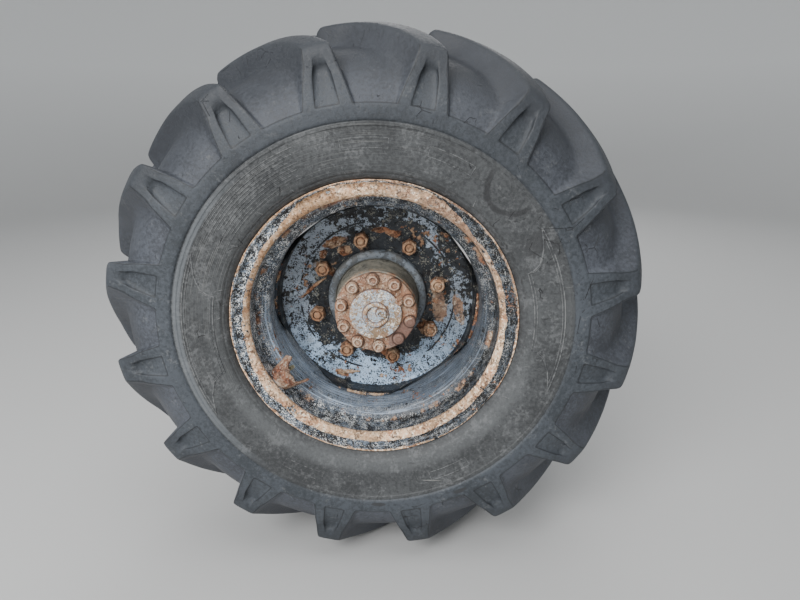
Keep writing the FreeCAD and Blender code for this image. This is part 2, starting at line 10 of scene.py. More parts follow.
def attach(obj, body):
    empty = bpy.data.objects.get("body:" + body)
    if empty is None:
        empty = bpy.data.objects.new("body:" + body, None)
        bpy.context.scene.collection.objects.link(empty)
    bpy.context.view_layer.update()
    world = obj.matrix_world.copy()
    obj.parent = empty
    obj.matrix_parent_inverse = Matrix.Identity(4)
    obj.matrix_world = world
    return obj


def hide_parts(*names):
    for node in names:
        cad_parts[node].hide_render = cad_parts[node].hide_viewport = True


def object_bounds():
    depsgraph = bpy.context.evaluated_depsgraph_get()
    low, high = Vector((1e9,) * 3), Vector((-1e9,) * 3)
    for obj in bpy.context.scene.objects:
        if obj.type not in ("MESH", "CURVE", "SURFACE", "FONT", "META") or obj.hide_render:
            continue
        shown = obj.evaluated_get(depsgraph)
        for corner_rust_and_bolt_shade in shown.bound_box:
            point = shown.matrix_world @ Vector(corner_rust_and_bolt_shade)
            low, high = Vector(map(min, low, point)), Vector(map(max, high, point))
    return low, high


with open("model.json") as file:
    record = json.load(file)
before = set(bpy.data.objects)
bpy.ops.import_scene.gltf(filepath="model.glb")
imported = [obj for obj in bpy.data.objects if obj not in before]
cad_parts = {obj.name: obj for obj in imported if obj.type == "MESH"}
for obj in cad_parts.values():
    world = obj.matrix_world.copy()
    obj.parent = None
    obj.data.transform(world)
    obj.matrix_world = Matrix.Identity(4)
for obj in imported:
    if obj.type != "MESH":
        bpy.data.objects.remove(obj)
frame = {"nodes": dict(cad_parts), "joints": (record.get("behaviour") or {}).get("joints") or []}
cad_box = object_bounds()

# Camera and studio.
# The camera stands where the photograph's did: a little over a metre from the wheel's face, above the
# hub and looking down. The floor is pale and plain, and the light comes soft from a clouded sky.
camera_place = (0.0494, -1.7131, 0.4002)
camera_pitch = 18.25
camera_yaw = 0.04
camera_roll = -0.1


def put_in(name, data):
    """An object of its own in the scene, at the origin."""
    obj = bpy.data.objects.new(name, data)
    bpy.context.scene.collection.objects.link(obj)
    return obj


camera = put_in("camera", bpy.data.cameras.new("camera"))
camera.data.sensor_width = 36.0
camera.data.lens = 25.97
camera.data.clip_start = 0.01
camera.matrix_world = (Matrix.Translation(camera_place) @ Matrix.Rotation(math.radians(-camera_yaw), 4, "Z")
    @ Matrix.Rotation(math.radians(90.0 - camera_pitch), 4, "X") @ Matrix.Rotation(math.radians(camera_roll),
    4, "Z"))
bpy.context.scene.camera = camera


def add(tree, kind, sockets=None, **settings):
    """A node with its settings, and its inputs either set to values or linked to other sockets."""
    node = tree.nodes.new(kind)
    for name, value in settings.items():
        setattr(node, name, value)
    for key, value in (sockets or {}).items():
        if isinstance(value, bpy.types.NodeSocket):
            tree.links.new(value, node.inputs[key])
        else:
            node.inputs[key].default_value = value
    return node


def face_outwards(mesh, crease=None):
    """Turns every face of closed meshes outwards, and keeps edges sharper than the crease in degrees."""
    cleaned = bmesh.new()
    cleaned.from_mesh(mesh)
    bmesh.ops.recalc_face_normals(cleaned, faces=cleaned.faces)
    cleaned.to_mesh(mesh)
    cleaned.free()
    mesh.shade_smooth()
    if crease is not None:
        mesh.set_sharp_from_angle(angle=math.radians(crease))


def mesh_object(name, vertices, faces, crease=None):
    """A smooth mesh object at the origin, from points in metres."""
    mesh = bpy.data.meshes.new(name)
    mesh.from_pydata([tuple(map(float, v)) for v in vertices], [], faces)
    mesh.validate()
    face_outwards(mesh, crease)
    return put_in(name, mesh)


def quads(rings, around, closed=False):
    """Faces between rings of as many points each; closed also joins the last ring to the first."""
    faces = []
    for i in range(rings if closed else rings - 1):
        here, there = i * around, (i + 1) % rings * around
        faces += [(here + k, here + (k + 1) % around, there + (k + 1) % around, there + k)
            for k in range(around)]
    return faces


def caps(rings, around):
    """A face over the first ring and one over the last."""
    return [tuple(ring * around + k for k in range(around)) for ring in (0, rings - 1)]


# The floor curves up all round into a pale wall, so that no edge shows behind the wheel.
floor_z = cad_box[0][2]
floor_r = 5.0
bend_r = 2.5
wall_z = 4.5
floor_profile = [(0.02, 0.0), (floor_r, 0.0)]
floor_profile += [(floor_r + bend_r * math.sin(t), bend_r - bend_r * math.cos(t))
    for t in [math.radians(k * 7.5) for k in range(1, 13)]] + [(floor_r + bend_r, wall_z)]
floor_sides = 96
floor_rings = [[(r * math.cos(2.0 * math.pi * k / floor_sides),
    r * math.sin(2.0 * math.pi * k / floor_sides), floor_z + z) for k in range(floor_sides)] for r,
    z in floor_profile]
floor_faces = quads(len(floor_rings), floor_sides) + caps(1, floor_sides)[:1]
floor = mesh_object("floor", [p for ring in floor_rings for p in ring], floor_faces)
floor_paint = bpy.data.materials.new("pale_floor")
floor_paint.use_nodes = True
floor_shader = floor_paint.node_tree.nodes["Principled BSDF"]
floor_height = add(floor_paint.node_tree, "ShaderNodeSeparateXYZ",
    {0: add(floor_paint.node_tree, "ShaderNodeTexCoord").outputs["Object"]}).outputs[2]
paler_up = add(floor_paint.node_tree, "ShaderNodeMapRange", {0: floor_height, 1: floor_z, 2: floor_z + 1.5})
floor_colour = add(floor_paint.node_tree, "ShaderNodeMix",
    {0: paler_up.outputs[0], 6: (0.53, 0.53, 0.525, 1.0), 7: (0.80, 0.81, 0.81, 1.0)}, data_type="RGBA")
floor_paint.node_tree.links.new(floor_colour.outputs[2], floor_shader.inputs["Base Color"])
floor_shader.inputs["Roughness"].default_value = 0.9
floor.data.materials.append(floor_paint)

world = bpy.data.worlds.new("clouded_sky")
world.use_nodes = True
world.node_tree.nodes["Background"].inputs["Color"].default_value = (0.94, 0.97, 1.0, 1.0)
world.node_tree.nodes["Background"].inputs["Strength"].default_value = 0.46
bpy.context.scene.world = world
# name, place, turn about X and Z in degrees, size, power
for name, place, tilt, turn, size, power in (("key", (-1.5, -3.2, 1.9), 58.0, -29.0, 2.0, 160.0),
                                             ("overhead", (0.2, -1.4, 3.6), 21.0, 0.0, 2.4, 50.0),
                                             ("back", (0.6, 3.0, 2.8), -48.0, 0.0, 2.4, 60.0)):
    lamp = put_in(name, bpy.data.lights.new(name, "AREA"))
    lamp.location = place
    lamp.rotation_euler = (math.radians(tilt), 0.0, math.radians(turn))
    lamp.data.size = size
    lamp.data.energy = power

# Tyre tread.
# One moulding of black rubber, worn and weathered blue-grey: sixteen swept lugs from each shoulder, the
# two sides half a pitch apart, each lug's end scooped out above the shoulder band.
wheel_y = frame["joints"][0]["pos_m"][1]
lug_count = 16
lug_pitch = 360.0 / lug_count
first_lug_deg = 10.0
crown_r = 0.560
crown_arc = 0.404
pocket_r = 0.520
groove_r = 0.384

# Rows of the outer half, from the shoulder band up the lug's end and along the lug to its nose. Each has
# the trailing foot, trailing edge, leading edge and leading foot as y in mm and degrees, then the lug's
# radius in mm (or nothing where it follows the crown), the recess's depth, how much its top is arched and
# how its width compares with the columns' shares.
tread_rows = (
    ((-205.8, -6.6), (-205.8, -6.4), (-205.8, 6.4), (-205.8, 6.6), 384.0, 0.0, 0.0, 1.0),
    ((-209.2, -6.6), (-209.2, -6.4), (-209.2, 6.4), (-209.2, 6.6), 385.0, 0.0, 0.0, 1.0),
    ((-210.0, -6.6), (-210.0, -6.4), (-210.0, 6.4), (-210.0, 6.6), 388.0, 0.0, 0.0, 1.0),
    ((-210.0, -6.6), (-210.0, -6.4), (-210.0, 6.4), (-210.0, 6.6), 406.5, 0.0, 0.0, 1.0),
    ((-209.6, -6.7), (-210.0, -6.3), (-210.0, 6.3), (-209.6, 6.7), 410.0, 0.0, 0.0, 1.0),
    ((-206.4, -6.7), (-209.6, -6.1), (-209.6, 6.1), (-206.4, 6.7), 412.5, 1.8, 0.0, 1.22),
    ((-205.5, -6.5), (-209.4, -5.9), (-209.4, 5.9), (-205.5, 6.6), 417.0, 2.4, 0.0, 1.22),
    ((-201.0, -5.9), (-205.0, -5.0), (-205.0, 5.0), (-200.0, 6.4), 439.0, 5.0, 0.0, 1.22),
    ((-195.5, -5.4), (-200.3, -4.1), (-200.3, 4.1), (-193.5, 6.3), 463.0, 9.0, 0.0, 1.22),
    ((-192.0, -5.1), (-197.6, -3.5), (-197.6, 3.6), (-189.5, 6.2), 477.0, 12.5, 9.0, 1.2),
    ((-189.0, -5.0), (-195.9, -3.2), (-195.9, 3.3), (-186.0, 6.2), 485.0, 1.5, 13.0, 1.05),
    ((-184.0, -4.6), (-192.6, -2.7), (-192.6, 2.9), (-180.0, 6.2), 502.0, 0.0, 0.0, 1.0),
    ((-181.0, -4.5), (-188.5, -2.4), (-188.5, 2.9), (-178.0, 6.3), 511.0, 0.0, 0.0, 1.0),
    ((-177.0, -4.2), (-181.0, -1.9), (-181.0, 3.3), (-175.0, 6.5), None, 0.0, 0.0, 1.0),
    ((-152.0, -2.4), (-150.0, 0.2), (-150.0, 6.2), (-150.0, 9.2), None, 0.0, 0.0, 1.0),
    ((-103.0, 2.2), (-98.0, 5.6), (-106.0, 11.3), (-106.0, 14.3), None, 0.0, 0.0, 1.0),
    ((-48.0, 9.8), (-42.0, 13.6), (-66.0, 16.3), (-64.0, 19.2), None, 0.0, 0.0, 1.0),
    ((4.0, 17.0), (2.0, 19.1), (-36.0, 22.6), (-36.0, 25.0), None, 0.0, 0.0, 1.0),
    ((9.0, 17.8), (8.0, 19.9), (-31.0, 23.5), (-32.0, 25.8), None, 0.0, 0.0, 1.0),
)
row_steps = (1, 1, 1, 1, 1, 1, 1, 1, 1, 1, 1, 1, 1, 1, 3, 3, 3, 1)
# Columns across one pitch: up the trailing flank, over the lug and its recess, down the leading flank
# and across the pocket, each as a share of its own stretch; then how high each flank column stands.
trailing_columns = (0.0, 0.15, 0.55, 0.92)
trailing_heights = (0.0, 0.06, 0.52, 0.95)
lug_columns = (0.0, 0.06, 0.275, 0.30, 0.335, 0.5, 0.665, 0.70, 0.725, 0.94, 1.0)
recess_columns = (0.0, 0.0, 0.0, 0.12, 1.0, 1.0, 1.0, 0.12, 0.0, 0.0, 0.0)
leading_columns = (0.12, 0.40, 0.75, 1.0)
leading_heights = (0.90, 0.48, 0.12, 0.0)
pocket_columns = (0.25, 0.55, 0.82)
edge_wear = 0.003
centre_wave = 0.030
centre_wave_deg = 20.2


def circle_through(p, q, r):
    """Centre and radius of the circle through three points."""
    a = np.array([[q[0] - p[0], q[1] - p[1]], [r[0] - p[0], r[1] - p[1]]]) * 2.0
    b = np.array([q[0] ** 2 - p[0] ** 2 + q[1] ** 2 - p[1] ** 2,
                  r[0] ** 2 - p[0] ** 2 + r[1] ** 2 - p[1] ** 2])
    centre = np.linalg.solve(a, b)
    return centre, math.dist(centre, p)


def crown_at(y):
    return crown_r - crown_arc + math.sqrt(crown_arc ** 2 - y ** 2)


shoulder_arc = circle_through((0.206, 0.414), (0.188, 0.452), (0.138, 0.497))
floor_arc = circle_through((-0.138, 0.497), (0.0, pocket_r), (0.138, 0.497))


def pocket_at(y):
    """Radius of the pockets' floor at a place across the tyre."""
    (middle, rise), radius = floor_arc if abs(y) < 0.138 else shoulder_arc
    return rise + math.sqrt(max(radius ** 2 - (abs(y) - middle) ** 2, 0.0)) if abs(y) < 0.206 else 0.414


def on_wheel(y, deg, r):
    a = math.radians(deg)
    return (r * math.cos(a), wheel_y + y, r * math.sin(a))


def from_mm(x, y, z):
    """A point given in mm from the wheel's middle."""
    return (x / 1000.0, wheel_y + y / 1000.0, z / 1000.0)


def blend(a, b, t):
    return tuple(p + (q - p) * t for p, q in zip(a, b))


def tread_row(feet, lug_r, depth, arch, spread):
    """One row of points across a pitch: (y, degrees, radius), all but radius in metres and degrees."""
    trail_foot, trail_edge, lead_edge, lead_foot = [(y / 1000.0, deg) for y, deg in feet]
    next_foot = (trail_foot[0], trail_foot[1] + lug_pitch)

    def edge_r(y):
        return crown_at(y) if lug_r is None else lug_r / 1000.0

    def floor_at(y):
        return min(pocket_at(y), edge_r(y))

    row = []
    for t, h in zip(trailing_columns, trailing_heights):
        y, deg = blend(trail_foot, trail_edge, t)
        row.append((y, deg, floor_at(trail_foot[0]) * (1.0 - h) + edge_r(trail_edge[0]) * h))
    for t, hollow in zip(lug_columns, recess_columns):
        y, deg = blend(trail_edge, lead_edge, 0.5 + (t - 0.5) * spread if hollow or 0.2 < t < 0.8 else t)
        worn = edge_wear if t in (0.0, 1.0) and lug_r is None else 0.0
        off = min(abs(t - 0.5) / 0.225, 1.0)
        drop = arch * (1.0 - math.sqrt(1.0 - off * off)) if off < 1.0 else arch * (1.0 - abs(t - 0.5)) / 0.775
        row.append((y + depth * hollow / 1000.0, deg, edge_r(y) - worn - drop / 1000.0))
    for t, h in zip(leading_columns, leading_heights):
        y, deg = blend(lead_edge, lead_foot, t)
        row.append((y, deg, floor_at(lead_foot[0]) * (1.0 - h) + edge_r(lead_edge[0]) * h))
    for t in pocket_columns:
        y, deg = blend(lead_foot, next_foot, t)
        row.append((y, deg, floor_at(y)))
    return row


def tread_half():
    """Rows of one pitch of the outer half, from the shoulder groove to the wave where the halves meet."""
    rows = []
    for (here, there), steps in zip(zip(tread_rows, tread_rows[1:]), row_steps):
        for k in range(steps):
            t = k / steps
            feet = [blend(a, b, t) for a, b in zip(here[:4], there[:4])]
            crown_row = here[4] is None or (k and there[4] is None)
            rows.append(tread_row(feet, None if crown_row else here[4], *here[5:]))
    last = tread_row(tread_rows[-1][:4], None, 0.0, 0.0, 1.0)
    rows.append(last)
    # the nose's face, its foot, and on to the wave
    count = len(last)
    wave_start = tread_rows[-1][0][1] - 3.0
    wave = []
    for k in range(count):
        deg = wave_start + k * lug_pitch / count
        y = centre_wave * math.cos(math.radians((deg - centre_wave_deg) * lug_count))
        wave.append((y, deg, pocket_at(y)))
    rows.append([(y + 0.002, deg + 0.5, r * 0.35 + pocket_at(y) * 0.65) for y, deg, r in last])
    foot = [(y + 0.005, deg + 1.2, pocket_at(y)) for y, deg, r in last]
    rows.append(foot)
    rows.append([blend(a, b, 0.5) for a, b in zip(foot, wave)])
    rows.append(wave)
    # the hidden underside, back from the wave to the groove
    under = [[(share * wave_y - (1.0 - share) * y0, deg, radius) for wave_y, deg, r in wave] for share, y0,
        radius in ((1.0, 0.0, 0.500), (0.3, 0.110, 0.484), (0.0, 0.180, 0.425))]
    return [[(-0.190, deg, groove_r) for y, deg, r in wave]], rows, under


def crease_shade_at(row, column):
    """One where a thin line of painted shade runs in the creases: round each pocket's foot and round each
    recess, zero elsewhere.
    """
    recess = (7, 11)
    if row == 5:
        return float(column <= 4 or column >= 14 or recess[0] <= column <= recess[1])
    return float(5 < row < 13 and column in (4, 14) or 5 < row < 11 and column in recess)


def tread_mesh():
    lip, rows, under = tread_half()
    rows = rows + under + lip
    count = len(rows[0])
    vertices = []
    faces = []
    low = []
    crease_shade_line = []
    pocket_share = [1.0] * len(trailing_columns) + [0.0] * len(lug_columns) + [1.0] * (len(leading_columns)
        + len(pocket_columns))
    for side, turn in ((1.0, 0.0), (-1.0, lug_pitch / 2.0)):
        start = len(vertices)
        for i, row in enumerate(rows):
            for k in range(count + 1):
                y, deg, r = row[k % count]
                vertices.append(on_wheel(side * y, deg + turn + (lug_pitch if k == count else 0.0), r))
                low.append(pocket_share[k % count] if 5 <= i < len(rows) - 8 else float(i >= len(rows) - 8))
                crease_shade_line.append(crease_shade_at(i, k % count))
        for i in range(len(rows)):
            j = (i + 1) % len(rows)
            for k in range(count):
                a, b = start + i * (count + 1) + k, start + j * (count + 1) + k
                quad = (a, a + 1, b + 1, b)
                faces.append(quad if side > 0.0 else quad[::-1])
    pitch = mesh_object("tread_pitch", vertices, faces)
    pitch.data.attributes.new("pocket", "FLOAT", "POINT").data.foreach_set("value", low)
    pitch.data.attributes.new("crease_shade_line", "FLOAT", "POINT").data.foreach_set("value", crease_shade_line)
    return pitch


def ring_tree():
    """Geometry Nodes: copies of a mesh turned about the wheel's axis, welded, rounded and made uneven."""
    tree = bpy.data.node_groups.new("ring_of_copies", "GeometryNodeTree")
    for label, kind in (("Copy", "Geometry"), ("Count", "Int"), ("Made", "Int"), ("First Angle", "Float"),
            ("Weld Distance", "Float"), ("Rounding", "Int"), ("Unevenness", "Float"), ("Finish", "Material")):
        tree.interface.new_socket(label, in_out="INPUT", socket_type="NodeSocket" + kind)
    tree.interface.new_socket("Ring", in_out="OUTPUT", socket_type="NodeSocketGeometry")
    given = add(tree, "NodeGroupInput").outputs
    places = add(tree, "GeometryNodePoints", {"Count": given["Count"]})
    index = add(tree, "GeometryNodeInputIndex")
    made = add(tree, "FunctionNodeCompare", {"A": index.outputs[0], "B": given["Made"]}, data_type="INT",
        operation="LESS_THAN")
    step = add(tree, "ShaderNodeMath", {0: 2.0 * math.pi, 1: given["Count"]}, operation="DIVIDE")
    angle = add(tree, "ShaderNodeMath", {0: index.outputs[0], 1: step.outputs[0], 2: given["First Angle"]},
        operation="MULTIPLY_ADD")
    turned_by = add(tree, "ShaderNodeMath", {0: angle.outputs[0], 1: -1.0}, operation="MULTIPLY")
    turn = add(tree, "ShaderNodeCombineXYZ", {"Y": turned_by.outputs[0]})
    copies = add(tree, "GeometryNodeInstanceOnPoints", {"Points": places.outputs[0],
        "Selection": made.outputs[0], "Instance": given["Copy"], "Rotation": turn.outputs[0]})
    real = add(tree, "GeometryNodeRealizeInstances", {0: copies.outputs[0]})
    welded = add(tree, "GeometryNodeMergeByDistance", {0: real.outputs[0],
        "Distance": given["Weld Distance"]})
    rounded = add(tree, "GeometryNodeSubdivisionSurface", {0: welded.outputs[0], "Level": given["Rounding"]})
    lumps = add(tree, "ShaderNodeTexNoise", {"Scale": 14.0, "Detail": 2.0})
    middle = add(tree, "ShaderNodeMath", {0: lumps.outputs[0], 1: 0.5}, operation="SUBTRACT")
    amount = add(tree, "ShaderNodeMath", {0: middle.outputs[0], 1: given["Unevenness"]}, operation="MULTIPLY")
    normal = add(tree, "GeometryNodeInputNormal")
    offset = add(tree, "ShaderNodeVectorMath", {0: normal.outputs[0], "Scale": amount.outputs[0]},
        operation="SCALE")
    worn = add(tree, "GeometryNodeSetPosition", {0: rounded.outputs[0], "Offset": offset.outputs[0]})
    smooth = add(tree, "GeometryNodeSetShadeSmooth", {0: worn.outputs[0]})
    finish = add(tree, "GeometryNodeSetMaterial", {0: smooth.outputs[0], "Material": given["Finish"]})
    add(tree, "NodeGroupOutput", {"Ring": finish.outputs[0]})
    return tree


ring_of_copies = ring_tree()


def ring_of(name, copy, finish, count, first_deg=0.0, made=None, weld=0.0001, rounding=0, unevenness=0.0,
        crease=None):
    """A plain mesh object of the copies that the tree makes around the wheel; the copy itself goes."""
    modifier = copy.modifiers.new("ring", "NODES")
    modifier.node_group = ring_of_copies
    values = {"Count": count, "Made": made or count, "First Angle": math.radians(first_deg),
        "Weld Distance": weld, "Rounding": rounding, "Unevenness": unevenness, "Finish": finish}
    for item in ring_of_copies.interface.items_tree:
        if item.in_out == "INPUT" and item.name in values:
            modifier[item.identifier] = values[item.name]
    bpy.context.view_layer.update()
    depsgraph = bpy.context.evaluated_depsgraph_get()
    mesh = bpy.data.meshes.new_from_object(copy.evaluated_get(depsgraph))
    mesh.name = name
    face_outwards(mesh, crease)
    copy.modifiers.remove(modifier)
    bpy.data.objects.remove(copy)
    return put_in(name, mesh)


def maths(operation, *values):
    """A math node in the tree that the sockets among its values belong to."""
    tree = next(v.id_data for v in values if isinstance(v, bpy.types.NodeSocket))
    return add(tree, "ShaderNodeMath", dict(enumerate(values)), operation=operation).outputs[0]


def times(a, b):
    return maths("MULTIPLY", a, b)


def less(a, b):
    return maths("SUBTRACT", a, b)


def larger(a, b):
    return maths("MAXIMUM", a, b)


def noise_over(place, scale, detail, roughness=0.5, seed=None, output=0):
    """A noise texture's value, or its colour as output 1; a seed moves it along a fourth dimension."""
    sockets = {"Vector": place, "Scale": scale, "Detail": detail, "Roughness": roughness}
    if seed is not None:
        sockets["W"] = seed
    return add(place.id_data, "ShaderNodeTexNoise", sockets, noise_dimensions="3D" if seed is None
        else "4D").outputs[output]


def ranged(value, start, end, low=0.0, high=1.0):
    """A soft step from low to high as the value goes from start to end."""
    return add(value.id_data, "ShaderNodeMapRange", {0: value, 1: start, 2: end, 3: low, 4: high},
        interpolation_type="SMOOTHSTEP").outputs[0]


def between(value, start, end, soft):
    """One where the value lies between start and end, zero outside."""
    return times(ranged(value, start - soft, start + soft), ranged(value, end + soft, end - soft))


def mixed(share, a, b):
    tree = next(v.id_data for v in (share, a, b) if isinstance(v, bpy.types.NodeSocket))
    colours = [(*c, 1.0) if isinstance(c, tuple) else c for c in (a, b)]
    return add(tree, "ShaderNodeMix", {0: share, 6: colours[0], 7: colours[1]}, data_type="RGBA").outputs[2]


def tinted(colour, tint, mask, share):
    """The colour, blended by a share towards a tint where the mask is."""
    return mixed(times(mask, share), colour, tint)


def brightened(colour, value):
    return add(colour.id_data, "ShaderNodeHueSaturation", {"Color": colour, "Value": value}).outputs[0]


def distance_from(spot, across, up):
    """How far a point lies from a place on the wheel's face, in mm."""
    return maths("SQRT", maths("ADD", maths("POWER", less(spot["Across"], across), 2.0),
        maths("POWER", less(spot["Up"], up), 2.0)))


def shader_group(name, inputs, outputs):
    """An empty shader group with named sockets, and what its input node gives."""
    tree = bpy.data.node_groups.new(name, "ShaderNodeTree")
    for label, value in inputs.items():
        kind = "Vector" if value is None else "Color" if isinstance(value, tuple) else "Float"
        socket = tree.interface.new_socket(label, in_out="INPUT", socket_type="NodeSocket" + kind)
        if value is not None:
            socket.default_value = value
    for label, kind in outputs.items():
        tree.interface.new_socket(label, in_out="OUTPUT", socket_type="NodeSocket" + kind)
    return tree, add(tree, "NodeGroupInput").outputs


def use(group, spot, **values):
    """A shader group placed at a spot, its inputs named as in the group with _ for a space."""
    values["Place"] = spot["Place"]
    return add(spot["Place"].id_data, "ShaderNodeGroup", {k.replace("_", " "): v for k, v in values.items()},
        node_tree=group).outputs


def finish_with(name, roughness, metallic=0.0, specular=0.5):
    """A new material, its tree, its shader, and where each point of it lies on the wheel."""
    material = bpy.data.materials.new(name)
    material.use_nodes = True
    shader = material.node_tree.nodes["Principled BSDF"]
    shader.inputs["Roughness"].default_value = roughness
    shader.inputs["Metallic"].default_value = metallic
    shader.inputs["Specular IOR Level"].default_value = specular
    tree = material.node_tree
    return material, tree, shader, add(tree, "ShaderNodeGroup", node_tree=wheel_place).outputs


def paint_in(shader, colour, height, depth, roughness=None):
    """Links a worked-out colour, bump height in metres of depth, and roughness to the shader."""
    tree = shader.id_data
    bump = add(tree, "ShaderNodeBump", {"Height": height, "Distance": depth, "Strength": 1.0})
    tree.links.new(colour, shader.inputs["Base Color"])
    tree.links.new(bump.outputs[0], shader.inputs["Normal"])
    if roughness:
        tree.links.new(roughness, shader.inputs["Roughness"])


# Where a point lies: across and up from the axle, along it from the wheel's middle, all in mm.
wheel_place, given = shader_group("wheel_place", {}, {"Place": "Vector", "Across": "Float", "Up": "Float",
    "Along": "Float", "Radius": "Float", "Angle": "Float"})
place = add(wheel_place, "ShaderNodeTexCoord").outputs["Object"]
parts = add(wheel_place, "ShaderNodeSeparateXYZ", {0: place}).outputs
across = times(parts[0], 1000.0)
up = times(parts[2], 1000.0)
add(wheel_place, "NodeGroupOutput", {"Place": place, "Across": across, "Up": up,
    "Along": maths("MULTIPLY_ADD", parts[1], 1000.0, -1000.0 * wheel_y),
    "Radius": maths("SQRT", maths("MULTIPLY_ADD", across, across, times(up, up))),
    "Angle": times(maths("ARCTAN2", up, across), 180.0 / math.pi)})

# Flecks and chips: fine ragged patches, crowded in some areas and few in others.
flecks, given = shader_group("flecks", {"Place": None, "Scale": 100.0, "Cover": 0.3, "Edge": 0.015,
    "Seed": 0.0, "Clumping": 0.5}, {"Mask": "Float", "Height": "Float"})
speckle = noise_over(given["Place"], given["Scale"], 6.0, 0.62, given["Seed"])
crowding = noise_over(given["Place"], times(given["Scale"], 0.18), 3.0, 0.5, given["Seed"])
crowding = times(less(crowding, 0.5), given["Clumping"])
threshold = less(maths("MULTIPLY_ADD", given["Cover"], -0.44, 0.72), crowding)
add(flecks, "NodeGroupOutput", {"Mask": ranged(speckle, less(threshold, given["Edge"]),
    maths("ADD", threshold, given["Edge"])), "Height": speckle})


def flecked(spot, **values):
    return use(flecks, spot, **values)["Mask"]


def speckled(colour, tint, share, spot, **values):
    """The colour with flecks of a tint, laid on by a share."""
    return tinted(colour, tint, flecked(spot, **values), share)


# A patch at one place on the wheel's face, with ragged edges.
patch, given = shader_group("patch", {"Place": None, "Across": 0.0, "Up": 0.0, "Centre Across": 0.0,
    "Centre Up": 0.0, "Half Length": 10.0, "Half Width": 10.0, "Turn": 0.0, "Ragged": 0.3, "Scale": 60.0},
    {"Mask": "Float"})
off_across = less(given["Across"], given["Centre Across"])
off_up = less(given["Up"], given["Centre Up"])
turn_by = times(given["Turn"], math.pi / 180.0)
cosine, sine = maths("COSINE", turn_by), maths("SINE", turn_by)
length_way = maths("DIVIDE", maths("MULTIPLY_ADD", off_across, cosine, times(off_up, sine)),
    given["Half Length"])
width_way = maths("DIVIDE", less(times(off_up, cosine), times(off_across, sine)), given["Half Width"])
away = maths("SQRT", maths("MULTIPLY_ADD", length_way, length_way, times(width_way, width_way)))
ragged = noise_over(given["Place"], given["Scale"], 5.0, 0.65)
away = maths("MULTIPLY_ADD", less(ragged, 0.5), times(given["Ragged"], 8.0), away)
add(patch, "NodeGroupOutput", {"Mask": ranged(away, 1.06, 0.90)})


def patched(spot, across, up, half_length, half_width, turn, ragged):
    """The mask of one patch: its middle and half sizes in mm, its turn in degrees, its raggedness."""
    return use(patch, spot, Across=spot["Across"], Up=spot["Up"], Centre_Across=across, Centre_Up=up,
        Half_Length=half_length, Half_Width=half_width, Turn=turn, Ragged=ragged)["Mask"]


# Rubber: mottled, dusty in its grain, with fine scuffs and short cracks.
rubber_grain, given = shader_group("rubber_grain", {"Place": None, "Dark": (0.05, 0.05, 0.06, 1.0),
    "Light": (0.12, 0.12, 0.12, 1.0), "Dust": 0.3}, {"Colour": "Color", "Height": "Float", "Rough": "Float"})
broad = noise_over(given["Place"], 9.0, 5.0, 0.6)
fine = noise_over(given["Place"], 160.0, 5.0, 0.7)
tone = maths("MULTIPLY_ADD", fine, 0.62, times(broad, 0.38))
colour = mixed(ranged(tone, 0.40, 0.60), given["Dark"], given["Light"])
colour = speckled(colour, (0.21, 0.215, 0.22), 0.34, given, Scale=150.0, Cover=given["Dust"], Edge=0.09,
    Clumping=0.8)
cells = add(rubber_grain, "ShaderNodeTexVoronoi", {"Vector": given["Place"], "Scale": 26.0},
    feature="DISTANCE_TO_EDGE").outputs[0]
few = flecked(given, Scale=17.0, Cover=0.22, Edge=0.01, Seed=4.0)
cracks = times(ranged(cells, 0.022, 0.004), few)
colour = tinted(colour, (0.012, 0.012, 0.014), cracks, 0.75)
add(rubber_grain, "NodeGroupOutput", {"Colour": colour, "Height": less(fine, times(cracks, 0.8)),
    "Rough": ranged(fine, 0.3, 0.7, 0.48, 0.68)})

tyre_rubber, tree, rubber, spot = finish_with("tyre_rubber", 0.6, specular=0.45)
lugs = use(rubber_grain, spot, Dark=(0.034, 0.040, 0.047, 1.0), Light=(0.068, 0.078, 0.092, 1.0), Dust=0.08)
# painted light and dust: the pockets are a lighter, bluer copy of the rubber, partly for dust and partly for
# painted sky light on their floors
pockets_dust_and_sky_light = use(rubber_grain, spot, Dark=(0.038, 0.042, 0.051, 1.0), Light=(0.084, 0.093, 0.112, 1.0),
    Dust=0.06)
walls = use(rubber_grain, spot, Dark=(0.034, 0.036, 0.038, 1.0), Light=(0.074, 0.078, 0.081, 1.0), Dust=0.24)
in_pocket = ranged(add(tree, "ShaderNodeAttribute", attribute_name="pocket").outputs["Fac"], 0.45, 0.95)
colour = mixed(in_pocket, lugs["Colour"], pockets_dust_and_sky_light["Colour"])
# painted shade: the pockets' far ends are darker, most of all at the top, and the whole tread is painted
# darker towards the top
painted_shade_far = times(ranged(spot["Radius"], 425.0, 500.0), ranged(spot["Up"], 150.0, 430.0, 0.3, 0.62))
colour = mixed(painted_shade_far, colour, (0.024, 0.027, 0.033))
colour = mixed(ranged(spot["Up"], 60.0, 400.0, 0.0, 0.38), colour, (0.026, 0.029, 0.034))
# painted shade: thin dark lines in the creases round each pocket's foot and each recess
painted_crease_shade = ranged(add(tree, "ShaderNodeAttribute", attribute_name="crease_shade_line").outputs["Fac"], 0.45, 0.95)
colour = tinted(colour, (0.012, 0.013, 0.015), painted_crease_shade, 0.72)
on_wall = ranged(spot["Radius"], 385.0, 381.0)
colour = mixed(on_wall, colour, walls["Colour"])
# thin pale rings scuffed round the wall, thickest at the upper left
rings = add(tree, "ShaderNodeCombineXYZ", {"X": times(spot["Radius"], 0.9),
    "Y": times(spot["Angle"], 0.035)}).outputs[0]
streaks = noise_over(rings, 1.0, 3.0, 0.7)
upper_left = ranged(less(spot["Up"], spot["Across"]), 0.0, 420.0, 0.04, 1.0)
scuffed = times(ranged(streaks, 0.53, 0.66), times(on_wall, upper_left))
colour = tinted(colour, (0.26, 0.26, 0.25), scuffed, 0.38)
